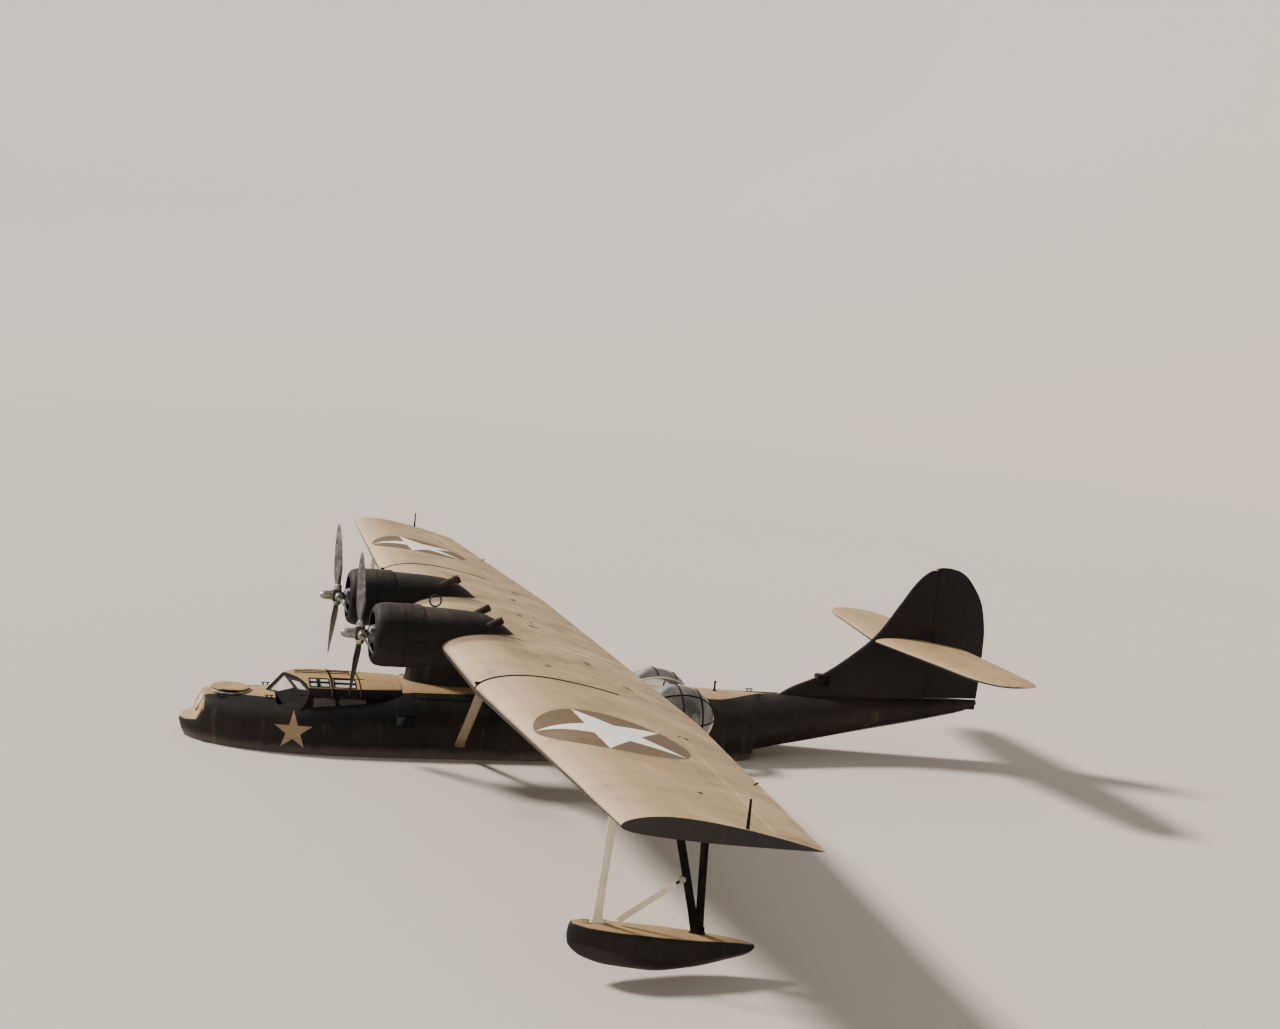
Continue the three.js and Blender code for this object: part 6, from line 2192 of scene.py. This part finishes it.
class BuildTail(BoatStep):
    """Fin, rudder, stabilizers and elevators"""
    bl_idname = "boat.tail"
    bl_label = "Tail"

    def build(self, detail):
        self.fin()
        self.rudder()
        for name, side in SIDES:
            self.tailplane(name, side)

    @staticmethod
    def upright(z, section):
        return np.column_stack([section[:, 0], section[:, 1], np.full(len(section), z)])

    def fin_rings(self, levels, section):
        rings = []
        for z, front, rear, thick in table_at(FIN, levels):
            chord = rear - front
            share = (RUDDER["hinge"] - front) / chord
            flat = section(chord, thick / chord, 0.0) if section is whole_section \
                else section(chord, thick / chord, 0.0, share, 0.0)
            rings.append(self.upright(z, flat + (front, 0)))
        return rings

    def fin(self):
        low, high = RUDDER["low"] - .015, RUDDER["high"] - .02
        fin = Shape()
        fin.add(skin(self.fin_rings(places(2.35, low, 5), whole_section)))
        fin.add(skin(self.fin_rings(places(low, high, 60), fixed_section)))
        piece("fin_skin", fin, "hull", ["fin_paint"], "hull_paint", ["fin"])

    def rudder(self):
        rudder = Shape()
        rudder.add(skin(self.fin_rings(places(RUDDER["low"] + .012, RUDDER["high"] + .001, 60), flap_section)))
        rudder.add(skin(self.fin_rings(places(RUDDER["high"], 5.94, 9, 5.93, 5.937), whole_section)))
        piece("rudder_skin", rudder, "rudder", ["fin_paint"], "wing_paint", ["rudder"])

    def tailplane(self, name, side):
        def rings(levels, section):
            made = []
            for y, front, rear, thickness in table_at(TAILPLANE, levels):
                chord = rear - front
                share = (ELEVATOR["hinge"] - front) / chord
                flat = section(chord, thickness, 0.0) if section is whole_section \
                    else section(chord, thickness, 0.0, share, 0.0)
                made.append(np.column_stack([flat[:, 0] + front, np.full(len(flat), y), flat[:, 1] + ELEVATOR["z"]]))
            return made
        a, b = ELEVATOR["inner"], ELEVATOR["outer"]
        fixed = Shape()
        fixed.add(skin(rings(places(.06, b, 40), fixed_section)), 0, side)
        fixed.add(skin(rings(places(b, 4.65, 12, 4.63, 4.645), whole_section)), 0, side)
        piece(f"stabilizer_skin_{name}", fixed, "hull", ["tail_paint"], "wing_paint", [f"stabilizer_{name}"])
        flap = skin(rings(places(a - .02, b - .016, 40), flap_section))
        notch = Vector((.405, -1.04, 0)).normalized()
        flap = clipped(flap, ((17.86, .222, 0), notch))
        piece(f"elevator_skin_{name}", Shape().add(flap, 0, side), "elevators", ["tail_paint"], "wing_paint",
              [f"elevator_{name}"])


def on_side(x, z, outline, lift):
    """An outline laid on the hull's side about a station and height, lifted off it by some metres."""
    out = [hull_side(x + dx, z + dz) + lift for dx, dz in outline]
    return np.column_stack([x + outline[:, 0], out, z + outline[:, 1]])


class BuildFittings(BoatStep):
    """Masts, loop, cleats, handrails, deck post, step box and small windows"""
    bl_idname = "boat.fittings"
    bl_label = "Fittings"

    def build(self, detail):
        for name, side in SIDES:
            mast = Shape()
            y = HALF_FIXED - .06
            foot = wing_top(y, .6, -.02)
            mast.add(bar(foot, foot + (0, 0, .46), .06, .034, (1, 0, 0), 16, 10, lambda t: 1 - .4 * t), 0, side)
            piece(f"mast_{name}", mast, "hull", ["dark_paint"], "strut_paint", [f"wing_mast_{name}"])
        self.loop()
        self.hull_fittings()

    @staticmethod
    def loop():
        box_low, box_high = (np.array(v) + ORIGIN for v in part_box("loop_antenna"))
        centre = np.array(((box_low[0] + box_high[0]) / 2, 0, box_high[2] - .15))
        loop = Shape()
        c, s = circle(40)
        loop.add(skin([np.column_stack([centre[0] + (.13 + .02 * math.cos(t)) * c, .02 * math.sin(t) + 0 * c,
                                        centre[2] + (.13 + .02 * math.cos(t)) * s])
                       for t in np.linspace(0, 2 * np.pi, 14, endpoint=False)], closed=True))
        foot = centre[2] - .14
        loop.add(turned([(box_low[2] - .02, 0), (box_low[2] - .02, .035), (foot - .05, .03), (foot - .04, .035),
                         (foot, .035), (foot + .012, .02), (foot + .012, 0)], (centre[0], 0, 0), "z", 24))
        piece("loop_aerial", loop, "hull", ["dark_metal"], "engine_metal", ["loop_antenna"])

    @staticmethod
    def hull_fittings():
        bits = Shape()
        for x, y in ((.83, .49), (.83, -.49), (1.84, .6), (1.84, -.6), (13.4, .3), (13.4, -.3)):
            z = hull_top(x, y) - .004
            for dx in (-.05, .05):
                bits.add(turned([(z, .018), (z + .05, .014), (z + .06, .02), (z + .07, .018), (z + .07, 0), (z, 0)],
                                (x + dx, y, 0), "z", 14))
            bits.add(tube([(x - .11, y, z + .058), (x - .05, y, z + .064), (x + .05, y, z + .064),
                           (x + .11, y, z + .058)], [.007, .012, .012, .007], 10))
        for side in (-1, 1):
            path = []
            for x in np.linspace(4.9, 9.9, 40):
                y = .9
                path.append((x, side * y, hull_top(x, y) + .07))
            bits.add(tube(path, .011, 8))
            for x in np.linspace(4.9, 9.9, 7):
                bits.add(tube([(x, side * .9, hull_top(x, .9) - .01), (x, side * .9, hull_top(x, .9) + .07)], .009, 8))
        post = hull_top(12.38, 0)
        bits.add(turned([(post - .02, 0), (post - .02, .045), (post + .02, .045), (post + .03, .026), (2.78, .022),
                         (2.79, .035),
                         (2.82, .035), (2.825, 0)], (12.38, 0, 0), "z", 24), 1)
        knob = hull_top(11.69, 0)
        bits.add(turned([(knob - .02, 0), (knob - .02, .03), (knob + .02, .025), (knob + .03, .04), (knob + .06, .03),
                         (knob + .065, 0)], (11.69, 0, 0), "z", 24), 1)
        box = block((15.17, 0, 2.96), (.34, .3, .28), .03)
        bits.add(box, 1)
        for z in (2.9, 3.04):
            bits.add(bar((15.02, -.15, z), (15.3, -.15, z), .012, .012, (0, 0, 1), 8), 1)
        piece("deck_cleats_rails", bits, "hull", ["hull_paint", "dark_paint"], "hull_paint")
        panes = Shape()
        for side in (-1, 1):
            for x, z in ((4.75, 1.93), (9.1, 1.95)):
                flat, rims = rounded(.4, .26, .05), rounded(.48, .34, .08)
                sheets = [on_side(x, z, flat, -.03)]
                sheets += [on_side(x, z, flat * share, .004) for share in (1, .75, .5, .25, .03)]
                panes.add(skin(sheets), 1, side)
                rings = [on_side(x, z, outline, lift)
                         for outline, lift in ((flat, -.02), (flat, .012), (rims, .01), (rims, -.02))]
                panes.add(skin(rings, closed=True), 0, side)
        piece("hull_side_windows", panes, "hull", ["hull_paint", "dark_glass"], "glazing")


class BuildStudio(BoatStep):
    """Pale floor at the waterline, soft lights and the camera"""
    bl_idname = "boat.studio"
    bl_label = "Studio"

    def build(self, detail):
        studio = bpy.context.scene.boat_studio
        look = Look("studio_floor")
        broad, fine = look.noise(.05, 2), look.noise(1.5, 3)
        pale, way = studio.floor, Vector(KEY_WAY).normalized()
        colour = look.mix(broad, tuple(pale), tuple(c * .95 for c in pale))
        facing = look.facing()
        lit = look.both(sum(n * w for n, w in zip(facing, way)), 0.0)
        lost = studio.key / math.pi * (way.z - lit)
        glow = look.mix(look.maths("MINIMUM", lost, 1.0), (0, 0, 0), tuple(pale))
        look.tree.links.new(glow.socket, look.shader.inputs["Emission Color"])
        look.shader.inputs["Emission Strength"].default_value = 1.0
        look.done(colour, .82 + .06 * fine, 0.0)
        profile = [(0, 0), (0, 30), (0, 90), (0, 140), (1.5, 158), (6, 172), (14, 182), (26, 189), (44, 193), (70, 195)]
        c, s = circle(96)
        rings = [np.column_stack([r * c, r * s, np.full(96, z)]) for z, r in profile]
        points, faces = skin(rings, caps=False)
        mesh = bpy.data.meshes.new("studio_floor")
        mesh.from_pydata(points.tolist(), [], faces)
        tidy_mesh(mesh, 60)
        if mesh.polygons[0].normal.z < 0:
            mesh.flip_normals()
        mesh.materials.append(look.material)
        floor = bpy.data.objects.new("studio_floor", mesh)
        bpy.context.scene.collection.objects.link(floor)
        floor.visible_shadow = False
        floor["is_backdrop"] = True
        self.lights(studio)
        self.camera(studio)

    @staticmethod
    def lights(studio):
        key = bpy.data.lights.new("key", "SUN")
        key.energy, key.angle, key.color = studio.key, math.radians(9), (1.0, .95, .87)
        lamp = bpy.data.objects.new("key", key)
        lamp.rotation_euler = Vector(KEY_WAY).to_track_quat("Z", "Y").to_euler()
        bpy.context.scene.collection.objects.link(lamp)
        world = bpy.data.worlds.new("studio")
        world.use_nodes = True
        sky = world.node_tree.nodes["Background"]
        sky.inputs["Color"].default_value = (1.0, .97, .93, 1)
        sky.inputs["Strength"].default_value = studio.sky
        bpy.context.scene.world = world

    @staticmethod
    def camera(studio):
        data = bpy.data.cameras.new("camera")
        data.lens, data.sensor_width, data.sensor_fit = studio.lens, 36, "HORIZONTAL"
        data.clip_end = 1000
        camera = bpy.data.objects.new("camera", data)
        az, el, roll = (math.radians(a) for a in (-17.67, 6.257, 6.156))
        back = Vector((math.sin(az) * math.cos(el), -math.cos(az) * math.cos(el), math.sin(el)))
        right = (-back).cross(Vector((0, 0, 1))).normalized()
        up = right.cross(-back)
        across = right * math.cos(roll) + up * math.sin(roll)
        over = up * math.cos(roll) - right * math.sin(roll)
        camera.matrix_world = Matrix.LocRotScale(
            Vector((-8.305, -35.587, 9.669)), Matrix((across, over, back)).transposed().to_quaternion(), None)
        bpy.context.scene.collection.objects.link(camera)
        bpy.context.scene.camera = camera


STEPS_IN_ORDER = (
    BuildStudio, BuildHull, BuildBow, BuildCanopy, BuildCockpit, BuildBlisters, BuildPylon, BuildWing, BuildAilerons,
    BuildNacelles, BuildEngines, BuildPropellers, BuildFloats, BuildTail, BuildFittings,
)


class BoatPanel(bpy.types.Panel):
    """Sidebar panel with the settings and the steps"""
    bl_idname = "VIEW3D_PT_boat"
    bl_label = "Flying Boat"
    bl_space_type = "VIEW_3D"
    bl_region_type = "UI"
    bl_category = "Flying Boat"

    def draw(self, context):
        for group in (context.scene.boat_paint, context.scene.boat_detail, context.scene.boat_studio):
            column = self.layout.column(align=True)
            for key in group.__annotations__:
                column.prop(group, key)
        for step in STEPS_IN_ORDER:
            self.layout.operator(step.bl_idname)


CLASSES = (BoatPaint, BoatDetail, BoatStudio) + STEPS_IN_ORDER + (BoatPanel,)


def register():
    for item in CLASSES:
        bpy.utils.register_class(item)
    bpy.types.Scene.boat_paint = PointerProperty(type=BoatPaint)
    bpy.types.Scene.boat_detail = PointerProperty(type=BoatDetail)
    bpy.types.Scene.boat_studio = PointerProperty(type=BoatStudio)


def unregister():
    del bpy.types.Scene.boat_studio, bpy.types.Scene.boat_detail, bpy.types.Scene.boat_paint
    for item in reversed(CLASSES):
        bpy.utils.unregister_class(item)


def main():
    register()
    for step in STEPS_IN_ORDER:
        group, name = step.bl_idname.split(".")
        getattr(getattr(bpy.ops, group), name)()
    boxes = {"cad": CAD_BOX, "visual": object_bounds()}
    {key: [list(map(float, corner)) for corner in box] for key, box in boxes.items()}


if __name__ == "__main__":
    main()
